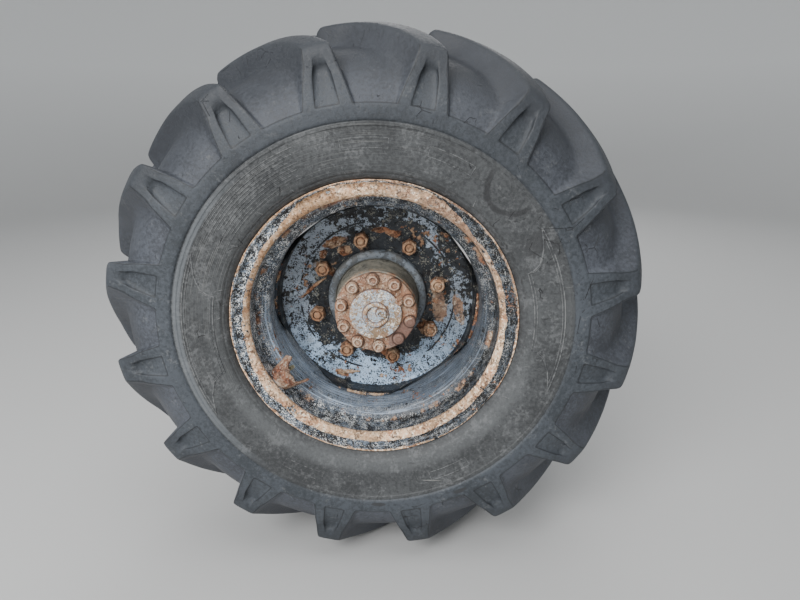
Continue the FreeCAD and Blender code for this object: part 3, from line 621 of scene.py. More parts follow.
# a paler ring just inside the shoulder's groove on the left, and a grey bloom beside the bead
left = ranged(spot["Across"], -200.0, -340.0)
pale_ring = times(between(spot["Radius"], 369.0, 381.0, 1.5), left)
colour = tinted(colour, (0.20, 0.22, 0.24), pale_ring, 0.45)
bloom = times(between(spot["Radius"], 292.0, 322.0, 9.0), ranged(spot["Up"], 120.0, -220.0, 0.1, 0.5))
colour = tinted(colour, (0.19, 0.20, 0.205), bloom, 0.5)
# short pale scratches, running two ways
for turn, seed in ((25.0, 1.0), (-50.0, 5.0)):
    turned = add(tree, "ShaderNodeMapping", {"Vector": spot["Place"], "Rotation": (0.0, math.radians(turn),
        0.0), "Scale": (9.0, 9.0, 260.0)}).outputs[0]
    lines = noise_over(turned, 1.0, 2.0, 0.6, seed)
    few = flecked(spot, Scale=14.0, Cover=0.30, Edge=0.03, Seed=seed)
    scratch = times(ranged(lines, 0.69, 0.73), times(few, on_wall))
    colour = tinted(colour, (0.36, 0.36, 0.34), scratch, 0.6)
# a dark scuff curled like a hook
hook = maths("MULTIPLY_ADD", noise_over(spot["Place"], 45.0, 4.0), 12.0, distance_from(spot, 250.0, 268.0))
curl = times(between(hook, 48.0, 57.5, 1.5), ranged(maths("ADD", spot["Across"], spot["Up"]), 528.0, 500.0))
colour = tinted(colour, (0.020, 0.020, 0.022), curl, 0.7)
# a worn dark smear on the upper right of the wall, and two dark marks low on the shoulder
for across, up, half_length, half_width, turn, strength in ((300.0, 168.0, 30.0, 17.0, 60.0, 0.55),
                                                            (3.0, -392.0, 16.0, 4.5, 0.0, 0.8),
                                                            (175.0, -358.0, 16.0, 5.0, 26.0, 0.8)):
    mark = patched(spot, across, up, half_length, half_width, turn, 0.12)
    colour = mixed(times(mark, strength), colour, (0.035, 0.036, 0.038))
paint_in(rubber, colour, walls["Height"], 0.0012, walls["Rough"])
tread = ring_of("tyre_tread", tread_mesh(), tyre_rubber, lug_count, first_lug_deg, rounding=1,
    unevenness=0.001)
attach(tread, "wheel")
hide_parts("tyre")

# Tyre sides.
# The smooth walls from the shoulder's groove in to the beads: a low ring beside the groove, fine moulded
# ribs and plain framed panels on the outer one. Each side goes on round its bead and back inside.
side_section = ((-205.8, 384.0, 0.4), (-206.9, 382.6, 0.6), (-206.7, 376.0, 0.8), (-205.3, 374.2, 1.0),
    (-203.9, 362.0, 0.0), (-202.4, 348.0, 0.0), (-200.6, 334.0, 0.0), (-198.2, 320.0, 0.0),
    (-194.8, 307.0, 0.0), (-190.6, 297.0, 4.0), (-186.4, 293.6, 1.5), (-185.2, 291.0, 1.5),
    (-179.6, 285.6, 2.5), (-171.9, 281.0, 1.0), (-166.0, 274.0, 1.0), (-164.8, 266.0, 1.0),
    (-164.8, 260.0, 3.0), (-160.0, 254.3, 3.0), (-128.0, 254.3, 2.0), (-138.0, 284.2, 8.0),
    (-180.0, 330.0, 20.0), (-189.0, 384.0, 0.4))


def rounded(section, steps=3):
    """The (y, radius) points in metres of a section whose corners are each rounded by a length in mm."""
    points = []
    count = len(section)
    for k in range(count):
        y, r, cut = section[k]
        if not cut:
            points.append((y / 1000.0, r / 1000.0))
            continue
        ends = []
        for other in (section[k - 1], section[(k + 1) % count]):
            reach = math.dist((y, r), other[:2])
            ends.append(blend((y, r), other[:2], min(cut / reach, 0.48)))
        for j in range(steps + 1):
            t = j / steps
            points.append(tuple(0.001 * (a * (1 - t) ** 2 + 2 * c * t * (1 - t) + b * t * t) for a, c,
                b in zip(ends[0], (y, r), ends[1])))
    return points


def lathed(name, points, count, shape=None, crease=None):
    """Closed (y, radius) points turned about the wheel's axis; shape(y, r, deg) may move each of them."""
    vertices = []
    for k in range(count):
        deg = 360.0 * k / count
        for y, r in points:
            y, r = shape(y, r, deg) if shape else (y, r)
            vertices.append(on_wheel(y, deg, r))
    return mesh_object(name, vertices, quads(count, len(points), closed=True), crease)


def dressed(obj, node, finish):
    """Gives a piece its material, hangs it on the wheel's body so it moves with it, and hides the CAD part it
    stands for.
    """
    if finish:
        obj.data.materials.clear()
        obj.data.materials.append(finish)
    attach(obj, "wheel")
    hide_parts(node)


side_points = rounded(side_section)
for name, side in (("tyre_outer_side", 1.0), ("tyre_inner_side", -1.0)):
    wall = lathed(name, [(side * y, r) for y, r in side_points], 144)
    dressed(wall, "tyre", tyre_rubber)


def side_y(r):
    """Where the outer side's face lies at a radius in mm."""
    rs = [p[1] for p in side_section[3:10]][::-1]
    ys = [p[0] for p in side_section[3:10]][::-1]
    return float(np.interp(r, rs, ys))


def ridges(name, lines):
    """Low raised lines on the outer side; each has its (radius, degrees) points, half width and height."""
    vertices = []
    faces = []
    for points, half, height in lines:
        path = []
        for (r0, a0), (r1, a1) in zip(points, points[1:]):
            steps = max(1, math.ceil(abs(a1 - a0) / 2.0))
            path += [(r0 + (r1 - r0) * k / steps, a0 + (a1 - a0) * k / steps) for k in range(steps)]
        path.append(points[-1])
        start = len(vertices)
        for k, (r, deg) in enumerate(path):
            r0, a0 = path[max(k - 1, 0)]
            r1, a1 = path[min(k + 1, len(path) - 1)]
            along = Vector((r1 - r0, r * math.radians(a1 - a0))).normalized()
            across = (-along.y, along.x)
            for offset, rise in ((-half, -0.8), (-half * 0.45, height), (half * 0.45, height), (half, -0.8)):
                rr = r + across[0] * offset
                dd = deg + math.degrees(across[1] * offset / r)
                vertices.append(on_wheel((side_y(rr) - rise) / 1000.0, dd, rr / 1000.0))
        for k in range(len(path) - 1):
            for i in range(4):
                a, b = start + 4 * k + i, start + 4 * k + (i + 1) % 4
                faces.append((a, b, b + 4, a + 4))
        faces.append(tuple(start + i for i in range(4)))
        faces.append(tuple(start + 4 * (len(path) - 1) + i for i in range(4)))
    return mesh_object(name, vertices, faces, 30.0)


moulded_edges, tree, shader, spot = finish_with("moulded_edges", 0.6, specular=0.45)
worn_edge = use(rubber_grain, spot, Dark=(0.045, 0.048, 0.052, 1.0), Light=(0.200, 0.205, 0.205, 1.0),
    Dust=0.40)
paint_in(shader, worn_edge["Colour"], worn_edge["Height"], 0.0008, worn_edge["Rough"])
side_lines = []
for turn, flip in ((182.5, 1.0), (6.0, -1.0)):
    for inset, half, height in ((0.0, 1.3, 1.4), (5.0, 0.8, 1.0)):
        corners = ((365.0 - inset, -27.0 + inset * 0.5), (350.0 - inset * 0.5, -20.5 + inset * 0.15),
            (334.0, -16.5 + inset * 0.12), (322.0, -15.2 + inset * 0.1), (309.0 + inset, -14.6))
        half_frame = [(r, a) for r, a in corners]
        other_half = [(r, -a) for r, a in reversed(corners)]
        loop = half_frame + other_half + [half_frame[0]]
        side_lines.append(([(r, turn + flip * a) for r, a in loop], half, height))
for k in range(11):
    r = 312.0 + 5.4 * k
    side_lines.append((((r, 112.0 + (k * 7) % 5), (r, 149.0 - (k * 5) % 7)), 0.8, 0.9))
for turn in (66.0, 92.0, 244.0, 296.0):
    side_lines.append((((356.0, turn - 7.0), (356.0, turn + 7.0), (338.0, turn + 7.0), (338.0, turn - 7.0),
        (356.0, turn - 7.0)), 0.8, 0.5))
for deg in (52.0, 99.0, 118.0, 132.0, 147.0, 165.0, 176.0, 205.0, 228.0, 262.0, 301.0, 330.0, 352.0):
    side_lines.append((((296.0, deg), (308.0, deg + 0.8)), 0.8, 0.6))
mouldings = ridges("side_mouldings", side_lines)
dressed(mouldings, "tyre", moulded_edges)

# Rim.
# Rolled steel plate: curled flanges with a thin lip, bead seats, and the well that holds the disc. It's
# a little out of true and dented at the lip, blue-grey paint chipped to black, rusted along its edges.


def curve(y, r, radius, start, end, steps=6):
    """Points in mm of an arc about (y, r), from one angle to another."""
    angles = [math.radians(start + (end - start) * k / steps) for k in range(steps + 1)]
    return [(y + radius * math.cos(a), r + radius * math.sin(a), 0.0) for a in angles]


rim_face = ([(-179.0, 282.4, 1.6), (-179.4, 277.0, 1.6)] + curve(-179.0, 268.5, 8.0, 84.0, 0.0)
    + curve(-157.0, 262.0, 14.0, 180.0, 270.0, 8) + [(-141.0, 247.0, 2.0), (-138.0, 248.2, 2.0),
    (-114.0, 246.4, 7.0), (-101.0, 221.3, 8.0), (18.0, 221.3, 8.0), (58.0, 245.5, 8.0)] + curve(157.0, 262.0,
    14.0, 270.0, 360.0, 8) + curve(179.0, 268.5, 8.0, 180.0, 96.0) + [(179.4, 277.0, 1.6),
    (179.0, 282.4, 1.6)])
rim_back = (curve(179.0, 268.5, 14.0, 96.0, 180.0) + curve(157.0, 262.0, 8.0, 0.0, -90.0, 5)
    + [(118.0, 251.5, 5.0), (55.0, 251.5, 8.0), (15.0, 227.3, 8.0), (-105.0, 227.3, 8.0),
    (-118.0, 251.5, 5.0)] + curve(-157.0, 262.0, 8.0, 270.0, 180.0, 5) + curve(-179.0, 268.5, 14.0, 0.0,
    84.0))
# place in degrees, reach in degrees, depth in mm of the dents in the outer lip
lip_dents = ((322.0, 5.0, 2.2), (62.0, 9.0, 1.2), (88.0, 6.0, 0.8), (208.0, 7.0, 0.9), (140.0, 5.0, 0.7))


def out_of_true(y, r, deg):
    a = math.radians(deg)
    wander = noise.noise(Vector((3.0 * math.cos(a), 3.0 * math.sin(a), 40.0 * y)))
    ripple = noise.noise(Vector((14.0 * math.cos(a), 14.0 * math.sin(a), 30.0 * y)))
    lip = max(0.0, min(1.0, (-0.168 - y) / 0.008))
    push = 0.0
    for place, reach, depth in lip_dents:
        off = ((deg - place + 180.0) % 360.0 - 180.0) / reach
        push += depth * math.exp(-off * off)
    r += 0.0006 * wander + 0.0003 * ripple - 0.001 * lip * push
    return y + 0.0004 * wander + 0.0005 * lip * push, r


# Rust: dark scale to orange and tan, with a pale crust where it has dried and caught dust.
rust, given = shader_group("rust", {"Place": None, "Scale": 60.0, "Paleness": 0.3, "Redness": 0.5,
    "Seed": 0.0}, {"Colour": "Color", "Height": "Float"})
scale_noise = noise_over(given["Place"], given["Scale"], 8.0, 0.70, given["Seed"])
tint_noise = noise_over(given["Place"], times(given["Scale"], 0.45), 4.0, 0.5, given["Seed"], output=1)
tints = add(rust, "ShaderNodeSeparateColor", {0: tint_noise}).outputs
orange = mixed(given["Redness"], (0.40, 0.25, 0.15), (0.33, 0.115, 0.050))
orange = mixed(ranged(tints[1], 0.42, 0.60), orange, (0.50, 0.33, 0.21))
brown = mixed(ranged(scale_noise, 0.30, 0.43), (0.018, 0.012, 0.010), (0.110, 0.048, 0.026))
colour = mixed(ranged(scale_noise, 0.41, 0.52), brown, orange)
crust = use(flecks, given, Scale=170.0, Cover=given["Paleness"], Edge=0.07, Seed=2.0, Clumping=0.9)
tan = mixed(ranged(crust["Height"], 0.48, 0.68), (0.50, 0.34, 0.22), (0.86, 0.77, 0.65))
colour = mixed(times(crust["Mask"], 0.92), colour, tan)
pits = flecked(given, Scale=230.0, Cover=0.33, Edge=0.03, Seed=7.0)
colour = tinted(colour, (0.030, 0.016, 0.011), pits, 0.75)
add(rust, "NodeGroupOutput", {"Colour": colour, "Height": less(maths("MULTIPLY_ADD", crust["Mask"], 0.25,
    scale_noise), times(pits, 0.35))})

# Paint of uneven shade, chipped off down to what lies under it in fine and in larger flakes.
chipped_paint, given = shader_group("chipped_paint", {"Place": None, "Paint": (0.1, 0.12, 0.16, 1.0),
    "Under": (0.02, 0.02, 0.02, 1.0), "Chips": 0.3, "Scale": 60.0, "Seed": 0.0},
    {"Colour": "Color", "Height": "Float"})
soft = noise_over(given["Place"], 16.0, 5.0, 0.62)
grain = noise_over(given["Place"], 260.0, 3.0, 0.7)
shade = add(chipped_paint, "ShaderNodeHueSaturation", {"Color": given["Paint"],
    "Value": maths("MULTIPLY_ADD", grain, 0.8, ranged(soft, 0.3, 0.7, 0.35, 0.85))}).outputs[0]
fine = flecked(given, Scale=given["Scale"], Cover=given["Chips"], Edge=0.010, Seed=given["Seed"],
    Clumping=0.45)
large = use(flecks, given, Scale=times(given["Scale"], 0.3), Cover=times(given["Chips"], 0.5), Edge=0.006,
    Seed=given["Seed"], Clumping=0.9)["Mask"]
bare = larger(fine, large)
add(chipped_paint, "NodeGroupOutput", {"Colour": mixed(bare, shade, given["Under"]),
    "Height": maths("MULTIPLY_ADD", grain, 0.25, times(bare, -0.6))})

rim_paint, tree, shader, spot = finish_with("rim_paint", 0.6)
rust_here = use(rust, spot, Scale=52.0, Paleness=0.66, Redness=0.60)
brown_rust = use(rust, spot, Scale=80.0, Paleness=0.22, Redness=0.70, Seed=3.0)
dark_paint = use(chipped_paint, spot, Paint=(0.115, 0.142, 0.178, 1.0), Under=(0.009, 0.009, 0.010, 1.0),
    Chips=0.55, Scale=300.0)
well_paint = use(chipped_paint, spot, Paint=(0.115, 0.140, 0.175, 1.0), Under=(0.012, 0.013, 0.015, 1.0),
    Chips=0.30, Scale=260.0, Seed=3.0)
# painted reflection: lighter gloss streaks along the well's length
round_it = add(tree, "ShaderNodeCombineXYZ", {"X": times(spot["Along"], 0.5),
    "Y": times(spot["Angle"], 0.03)}).outputs[0]
painted_gloss_streaks = noise_over(round_it, 1.0, 3.0)
well_paint_and_gloss_streaks = mixed(ranged(painted_gloss_streaks, 0.50, 0.60, 0.0, 0.70), well_paint["Colour"],
                    (0.36, 0.45, 0.58))
# the well keeps more of its paint than the black seats, and dust lies in it
in_well = times(ranged(spot["Along"], -116.0, -106.0), ranged(spot["Radius"], 247.0, 240.0))
# the well's paint and its painted gloss streaks show most towards the bottom
in_well = times(in_well, ranged(spot["Up"], 90.0, -90.0, 0.2, 1.0))
colour = mixed(in_well, dark_paint["Colour"], well_paint_and_gloss_streaks)
specks = flecked(spot, Scale=420.0, Cover=0.36, Edge=0.02, Seed=6.0, Clumping=0.4)
specks = times(specks, ranged(in_well, 0.0, 1.0, 0.9, 0.35))
colour = mixed(specks, colour, (0.60, 0.61, 0.60))
# painted light and shade: paler on the left, darker on the right
colour = brightened(colour, ranged(spot["Across"], -230.0, 200.0, 1.75, 0.60))
# rust: all over the rounded corner, along the lip and the seat's inner edge, spotted elsewhere
wander = noise_over(spot["Place"], 24.0, 5.0, 0.6)
wandering_r = maths("MULTIPLY_ADD", less(wander, 0.5), 16.0, spot["Radius"])
outer_part = ranged(spot["Along"], -154.5, -159.5)
corner_end = maths("ADD", ranged(spot["Up"], 170.0, 260.0, 259.0, 277.0), ranged(spot["Up"], -30.0, -120.0,
    0.0, 5.0))
corner_rust_and_bolt_shade = times(maths("LESS_THAN", wandering_r, corner_end), outer_part)
lip = times(ranged(wandering_r, 278.5, 280.5), outer_part)
seat_edge = times(between(spot["Along"], -119.0, -111.0, 2.0), ranged(wander, 0.52, 0.57))
spots = flecked(spot, Scale=130.0, Cover=0.06, Edge=0.02, Seed=9.0, Clumping=0.8)
spots = larger(seat_edge, spots)
colour = mixed(spots, colour, brown_rust["Colour"])
kept = flecked(spot, Scale=100.0, Cover=0.10, Edge=0.012, Seed=12.0, Clumping=0.8)
rusted = times(larger(corner_rust_and_bolt_shade, lip), less(1.0, kept))
streaked = use(rust, spot, Scale=120.0, Paleness=0.46, Redness=0.40, Seed=11.0)
band = mixed(ranged(wander, 0.46, 0.60, 0.10, 0.70), rust_here["Colour"], streaked["Colour"])
band = brightened(band, 2.0)
band = speckled(band, (0.62, 0.40, 0.235), 0.55, spot, Scale=60.0, Cover=0.42, Edge=0.06, Seed=15.0,
    Clumping=0.9)
orange_side = times(between(spot["Angle"], 100.0, 176.0, 12.0), ranged(wander, 0.40, 0.52))
band = tinted(band, (0.56, 0.33, 0.175), orange_side, 0.60)
brown_side = times(between(spot["Angle"], 18.0, 80.0, 10.0), ranged(wander, 0.42, 0.54))
band = tinted(band, (0.30, 0.19, 0.135), brown_side, 0.60)
band = speckled(band, (0.095, 0.060, 0.045), 0.8, spot, Scale=300.0, Cover=0.26, Edge=0.012, Seed=16.0,
    Clumping=0.7)
colour = mixed(rusted, colour, band)
height = maths("MULTIPLY_ADD", rusted, rust_here["Height"], dark_paint["Height"])
paint_in(shader, colour, height, 0.0016, ranged(rusted, 0.0, 1.0, 0.42, 0.88))
rim = lathed("rim_shell", rounded(rim_face + rim_back), 240, out_of_true)
dressed(rim, "rim", rim_paint)

# Disc.
# Pressed plate bolted to the hub: a flat nut face, dished a little, flanged out along the well, with four
# flats cut off it. Blue-grey paint over black, chipped and rusted, with a strip of rusted plate stuck on.
disc_face = -1.0
disc_back = 13.0
disc_bore_r = 110.5
nut_face_r = 173.0
dish_out = 7.0
disc_edge = -44.0
disc_edge_r = 221.1
flange_inner_r = 212.1
disc_flat = 211.0
flat_lean = 17.0
upper_flats_out = 2.5
first_flat_deg = 36.0


def disc_front(r):
    """The outer face's place along the axle at a radius in mm, with a soft bend where the dish begins."""
    rise = (r - nut_face_r) / (flange_inner_r - 8.0 - nut_face_r) * dish_out
    return disc_face - 0.5 * (rise + math.hypot(rise, 0.8)) + 0.01


disc_outer_face = ([(disc_bore_r + 1.5, disc_face)] + [(r, disc_front(r)) for r in (140.0, 166.0, 170.0,
    173.0, 176.0, 180.0, 192.0, 203.5)] + [(204.1 + 8.0 * math.sin(t), -16.0 + 8.0 * math.cos(t))
    for t in (0.3, 0.7, 1.1, 1.5)] + [(flange_inner_r, -30.0), (flange_inner_r, disc_edge)])
disc_inner_face = ([(disc_bore_r + 1.0, disc_back), (166.0, disc_back), (178.0, disc_back - 0.8),
    (196.0, 6.6)] + [(204.1 + 17.0 * math.sin(t), -14.0 + 17.0 * math.cos(t)) for t in (0.1, 0.5, 0.9, 1.3,
    1.55)] + [(disc_edge_r, -30.0), (disc_edge_r, disc_edge)])


def flat_at(y, flat):
    """How far a flat lies from the axle at a place along it; the cut leans in over the flange."""
    return flat - flat_lean * max(0.0, (-16.0 - y) / (-16.0 - disc_edge))


def trimmed(path, off, flat):
    """A face's (radius, y) points up to where the flat cuts them, resampled to as many points."""
    kept = [path[0]]
    for (r0, y0), (r1, y1) in zip(path, path[1:]):
        over = [r * math.cos(off) - flat_at(y, flat) for r, y in ((r0, y0), (r1, y1))]
        if over[1] > 0.0:
            t = -over[0] / (over[1] - over[0])
            kept.append((r0 + (r1 - r0) * t, y0 + (y1 - y0) * t))
            break
        kept.append((r1, y1))
    lengths = np.concatenate(([0.0], np.cumsum([math.dist(p, q) for p, q in zip(kept, kept[1:])])))
    shares = np.concatenate((np.linspace(0.0, 0.55, 8)[:-1], np.linspace(0.55, 0.97, 22), (0.985, 1.0)))
    at_r = np.interp(shares * lengths[-1], lengths, [p[0] for p in kept])
    at_y = np.interp(shares * lengths[-1], lengths, [p[1] for p in kept])
    return list(zip(at_r, at_y))


def disc_mesh():
    """Columns of points from the bore over the outer face, round the cut edge and back behind."""
    vertices = []
    count = 288
    for k in range(count):
        deg = 360.0 * k / count
        a = math.radians(deg)
        off = math.radians((deg - first_flat_deg + 45.0) % 90.0 - 45.0)
        flat = disc_flat + (upper_flats_out if (deg + 9.0) % 360.0 < 180.0 else 0.0)
        front = trimmed(disc_outer_face, off, flat)
        back = trimmed(disc_inner_face, off, flat)
        width = math.dist(front[-1], back[-1])
        column = ([(disc_bore_r, disc_face + 1.5), (disc_bore_r + 0.4, disc_face + 0.4)] + front[:-1]
            + [blend(front[-1], back[-1], 0.9 / width), blend(front[-1], back[-1], 1.0 - 0.9 / width)]
            + back[-2::-1] + [(disc_bore_r, disc_back - 1.0)])
        for r, y in column:
            dent = noise.noise(Vector((r * math.cos(a), r * math.sin(a), 0.0)) / 45.0)
            vertices.append(on_wheel((y + 0.5 * dent) / 1000.0, deg, r / 1000.0))
    return mesh_object("disc_plate", vertices, quads(count, len(column), closed=True), 45.0)


disc_paint, tree, shader, spot = finish_with("disc_paint", 0.5)
# painted light: the grey paint is lighter and bluer towards the bottom
paint_lit_below = mixed(ranged(spot["Up"], 20.0, -165.0), (0.390, 0.455, 0.540), (0.430, 0.580, 0.770))
grey_paint = use(chipped_paint, spot, Paint=paint_lit_below, Under=(0.009, 0.009, 0.010, 1.0), Chips=0.38, Scale=330.0)
black_paint = use(chipped_paint, spot, Paint=(0.020, 0.024, 0.030, 1.0), Under=(0.010, 0.009, 0.010, 1.0),
    Chips=0.35, Scale=90.0, Seed=5.0)
# black round the hub, out to a ragged edge, and as painted shade on the flange's inner face and in a broken
# line along the step where the dish begins
wander = noise_over(spot["Place"], 18.0, 7.0, 0.66)
wandering_r = maths("MULTIPLY_ADD", less(wander, 0.5), 120.0, spot["Radius"])
upper = maths("MULTIPLY_ADD", spot["Up"], 0.13, times(spot["Across"], 0.05))
black = ranged(less(wandering_r, upper), 158.0, 153.0)
for across, up, half_length, half_width, turn in ((-126.0, -82.0, 48.0, 17.0, -58.0),
                                                  (172.0, 95.0, 80.0, 22.0, -58.0),
                                                  (-10.0, 190.0, 90.0, 16.0, 0.0)):
    mark = patched(spot, across, up, half_length, half_width, turn, 0.40)
    black = larger(black, mark)
islands = flecked(spot, Scale=140.0, Cover=0.24, Edge=0.01, Seed=14.0, Clumping=0.9)
black = times(black, less(1.0, times(islands, ranged(spot["Radius"], 132.0, 150.0))))
flange_painted_shade = larger(ranged(spot["Along"], -11.0, -14.0), ranged(wandering_r, 216.0, 219.0))
step_painted_shade = times(between(spot["Radius"], 170.5, 174.5, 0.8), ranged(wander, 0.46, 0.50))
black = larger(larger(black, flange_painted_shade), step_painted_shade)
colour = mixed(black, grey_paint["Colour"], black_paint["Colour"])
# painted shade: the right side is darker
colour = brightened(colour, ranged(spot["Across"], 70.0, 190.0, 1.0, 0.55))
specks = flecked(spot, Scale=300.0, Cover=0.24, Edge=0.012, Seed=6.0, Clumping=0.7)
colour = mixed(times(specks, ranged(black, 0.0, 1.0, 0.25, 0.6)), colour,
               (0.36, 0.35, 0.29))
rust_here = use(rust, spot, Scale=80.0, Paleness=0.12, Redness=0.75)
pale_rust = use(rust, spot, Scale=80.0, Paleness=0.38, Redness=0.35, Seed=1.0)
rusted = flecked(spot, Scale=60.0, Cover=0.10, Edge=0.02, Seed=9.0, Clumping=0.9)
pale_rust = mixed(0.45, pale_rust["Colour"], (0.125, 0.095, 0.080))
crumbled = flecked(spot, Scale=110.0, Cover=0.78, Edge=0.02, Seed=16.0, Clumping=0.6)
# places in mm, half sizes, turn in degrees, raggedness, and how pale the rust is
for across, up, half_length, half_width, turn, ragged, pale in (
        (-92.0, 126.0, 28.0, 11.0, 20.0, 0.16, 0), (-70.0, 108.0, 18.0, 11.0, 0.0, 0.14, 0),
        (-118.0, 99.0, 12.0, 8.0, 60.0, 0.18, 0), (8.0, 153.0, 15.0, 6.0, 0.0, 0.3, 0),
        (36.0, 146.0, 22.0, 8.0, -12.0, 0.35, 0), (139.0, -22.0, 17.0, 40.0, 8.0, 0.24, 1),
        (128.0, 30.0, 10.0, 16.0, 0.0, 0.2, 0), (108.0, -76.0, 22.0, 14.0, -40.0, 0.18, 0),
        (182.0, -28.0, 11.0, 34.0, 12.0, 0.20, 1),
        (-84.0, -182.0, 20.0, 8.0, -24.0, 0.2, 0), (26.0, -136.0, 24.0, 10.0, -20.0, 0.2, 0)):
    mark = patched(spot, across, up, half_length, half_width, turn, ragged)
    if pale:
        colour = mixed(times(mark, crumbled), colour, pale_rust)
    rusted = larger(rusted, times(mark, 1.0 - pale))
# rust also runs down from each nut
ring = times(less(spot["Angle"], 14.1), math.pi * 8.0 / 180.0)
nut_middle = maths("MULTIPLY_ADD", maths("COSINE", ring), 0.5, 0.5)
round_nut = times(ranged(nut_middle, 0.86, 0.97), between(wandering_r, 118.0, 158.0, 6.0))
rusted = larger(rusted, times(round_nut, ranged(wander, 0.44, 0.52)))
colour = mixed(rusted, colour, rust_here["Colour"])
height = maths("MULTIPLY_ADD", rusted, rust_here["Height"],
    maths("MULTIPLY_ADD", black, less(black_paint["Height"], 0.5), grey_paint["Height"]))
paint_in(shader, colour, height, 0.0010, ranged(rusted, 0.0, 1.0, 0.40, 0.90))
dressed(disc_mesh(), "wheel_disc", disc_paint)


def bar(name, path, sides=8):
    """A closed bar along a path of (degrees, radius, y, half width, half height) steps in mm."""
    vertices = []
    for k, (deg, r, y, half_w, half_h) in enumerate(path):
        before, after = path[max(k - 1, 0)], path[min(k + 1, len(path) - 1)]
        ends = [Vector((p[1] * math.cos(math.radians(p[0])), p[1] * math.sin(math.radians(p[0]))))
            for p in (before, after)]
        along = (ends[1] - ends[0]).normalized()
        across = Vector((along.y, -along.x))
        middle = Vector((r * math.cos(math.radians(deg)), r * math.sin(math.radians(deg))))
        for i in range(sides):
            t = 2.0 * math.pi * i / sides
            p = middle + across * (half_w * math.cos(t))
            vertices.append(from_mm(p.x, y - half_h * math.sin(t), p.y))
    faces = quads(len(path), sides) + caps(len(path), sides)
    return mesh_object(name, vertices, faces)


def uneven(k, spread, seed=0.0):
    return 1.0 + spread * noise.noise(Vector((k * 0.63, seed, 0.5)))


weld_rust, tree, shader, spot = finish_with("weld_rust", 0.85)
brown = use(rust, spot, Scale=70.0, Paleness=0.16, Redness=0.7)
cream = use(rust, spot, Scale=70.0, Paleness=0.85, Redness=0.4, Seed=3.0)
blue_paint = flecked(spot, Scale=40.0, Cover=0.42, Edge=0.01, Seed=2.0)
colour = mixed(ranged(spot["Up"], -150.0, -190.0), brown["Colour"], cream["Colour"])
on_weld = ranged(spot["Radius"], 210.0, 212.0)
colour = mixed(times(blue_paint, on_weld), colour, (0.060, 0.072, 0.092))
paint_in(shader, colour, brown["Height"], 0.0016)
strip_path = []
for k in range(15):
    t = k / 14.0
    taper = math.sin(math.pi * min(max(t, 0.06), 0.94)) ** 0.35
    strip_path.append((178.7 - 21.5 * t ** 1.15, 165.5 - 44.0 * t, disc_front(165.5 - 44.0 * t) - 1.0,
        (5.0 - 1.6 * t) * taper * uneven(k, 0.4), 3.4 * taper * uneven(k, 0.5, 3.0)))
dressed(bar("rusty_strip", strip_path), "wheel_disc", weld_rust)
stub_path = []
for k in range(13):
    t = k / 12.0
    taper = math.sin(math.pi * min(max(t, 0.08), 0.92)) ** 0.5
    r = 198.0 - 13.0 * t
    stub_path.append((-116.5 + 13.0 * t, r, disc_front(r) - 1.5 + 2.0 * t, (7.5 - 4.0 * t) * taper
        * uneven(k, 0.4, 5.0), (6.5 - 5.0 * t) * taper))
dressed(bar("rusty_stub", stub_path), "wheel_disc", weld_rust)

# Disc welds.
# Four runs of weld where the disc's flange meets the well, lumpy and rusted.
weld_half_deg = 15.2
for run, middle_deg in enumerate((81.0, 171.0, 261.0, 351.0)):
    bead = []
    for k in range(61):
        t = k / 60.0
        taper = math.sin(math.pi * min(max(t, 0.02), 0.98)) ** 0.25
        swell = (1.0 + 0.13 * math.sin(k * 2.1)) * uneven(k, 0.35, 9.0 + run)
        bead.append((middle_deg - weld_half_deg + 2.0 * weld_half_deg * t, 219.0,
            -45.8 + uneven(k, 0.6, run), 3.6 * taper * swell, 4.2 * taper * swell))
    dressed(bar("weld_run_%d" % (run + 1), bead), "disc_welds", weld_rust)

# Wheel studs and nuts.
# Eight steel studs with worn hexagonal nuts, rusted all over.
stud_count = 8
first_stud_deg = 14.1
stud_ring_r = 137.5


def spun(name, section, count, centre=(stud_ring_r, 0.0)):
    """A piece turned about its own axis, which has its centre on the face; each (y, r, how hexagonal)."""
    vertices = []
    cx, cz = centre
    rings = [p for p in section if p[1] > 0.0]
    for y, r, hexagonal in rings:
        for k in range(count):
            a = 2.0 * math.pi * k / count
            flat = math.radians((math.degrees(a) + 30.0) % 60.0 - 30.0)
            scale = 1.0 + hexagonal * (1.0 / math.cos(flat) - 1.0)
            x = cx + r * scale * math.cos(a)
            vertices.append(from_mm(x, y, cz + r * scale * math.sin(a)))
    faces = quads(len(rings), count)
    for y, ring in ((section[0][0], 0), (section[-1][0], len(rings) - 1)):
        vertices.append(from_mm(cx, y, cz))
        for k in range(count):
            faces.append((ring * count + k, ring * count + (k + 1) % count, len(vertices) - 1))
    return mesh_object(name, vertices, faces, 35.0)


stud_section = [(-27.9, 0.0, 0.0), (-28.4, 3.6, 0.0), (-28.2, 5.8, 0.0), (-27.2, 7.0, 0.0)]
for k in range(3):
    stud_section += [(-26.4 + 1.5 * k, 8.0, 0.0), (-25.6 + 1.5 * k, 7.3, 0.0)]
stud_section += [(-21.0, 9.6, 0.0), (46.0, 9.6, 0.0), (47.0, 8.4, 0.0), (47.0, 0.0, 0.0)]
nut_section = [(-22.4, 0.0, 0.0), (-22.4, 9.0, 0.0), (-25.8, 9.7, 0.0), (-27.4, 10.6, 0.0),
    (-27.6, 12.2, 0.0), (-26.8, 13.5, 0.15), (-24.8, 14.6, 0.55), (-23.2, 15.0, 0.85), (-6.0, 15.0, 0.9),
    (-2.6, 14.9, 0.85), (-1.6, 14.3, 0.5), (-1.2, 13.6, 0.2), (-1.2, 0.0, 0.0)]
stud_rust, tree, shader, spot = finish_with("stud_rust", 0.8)
nut_rust = use(rust, spot, Scale=110.0, Paleness=0.14, Redness=0.60)
worn_face = ranged(spot["Along"], -25.5, -27.4)
colour = mixed(times(worn_face, 0.35), nut_rust["Colour"], (0.50, 0.30, 0.17))
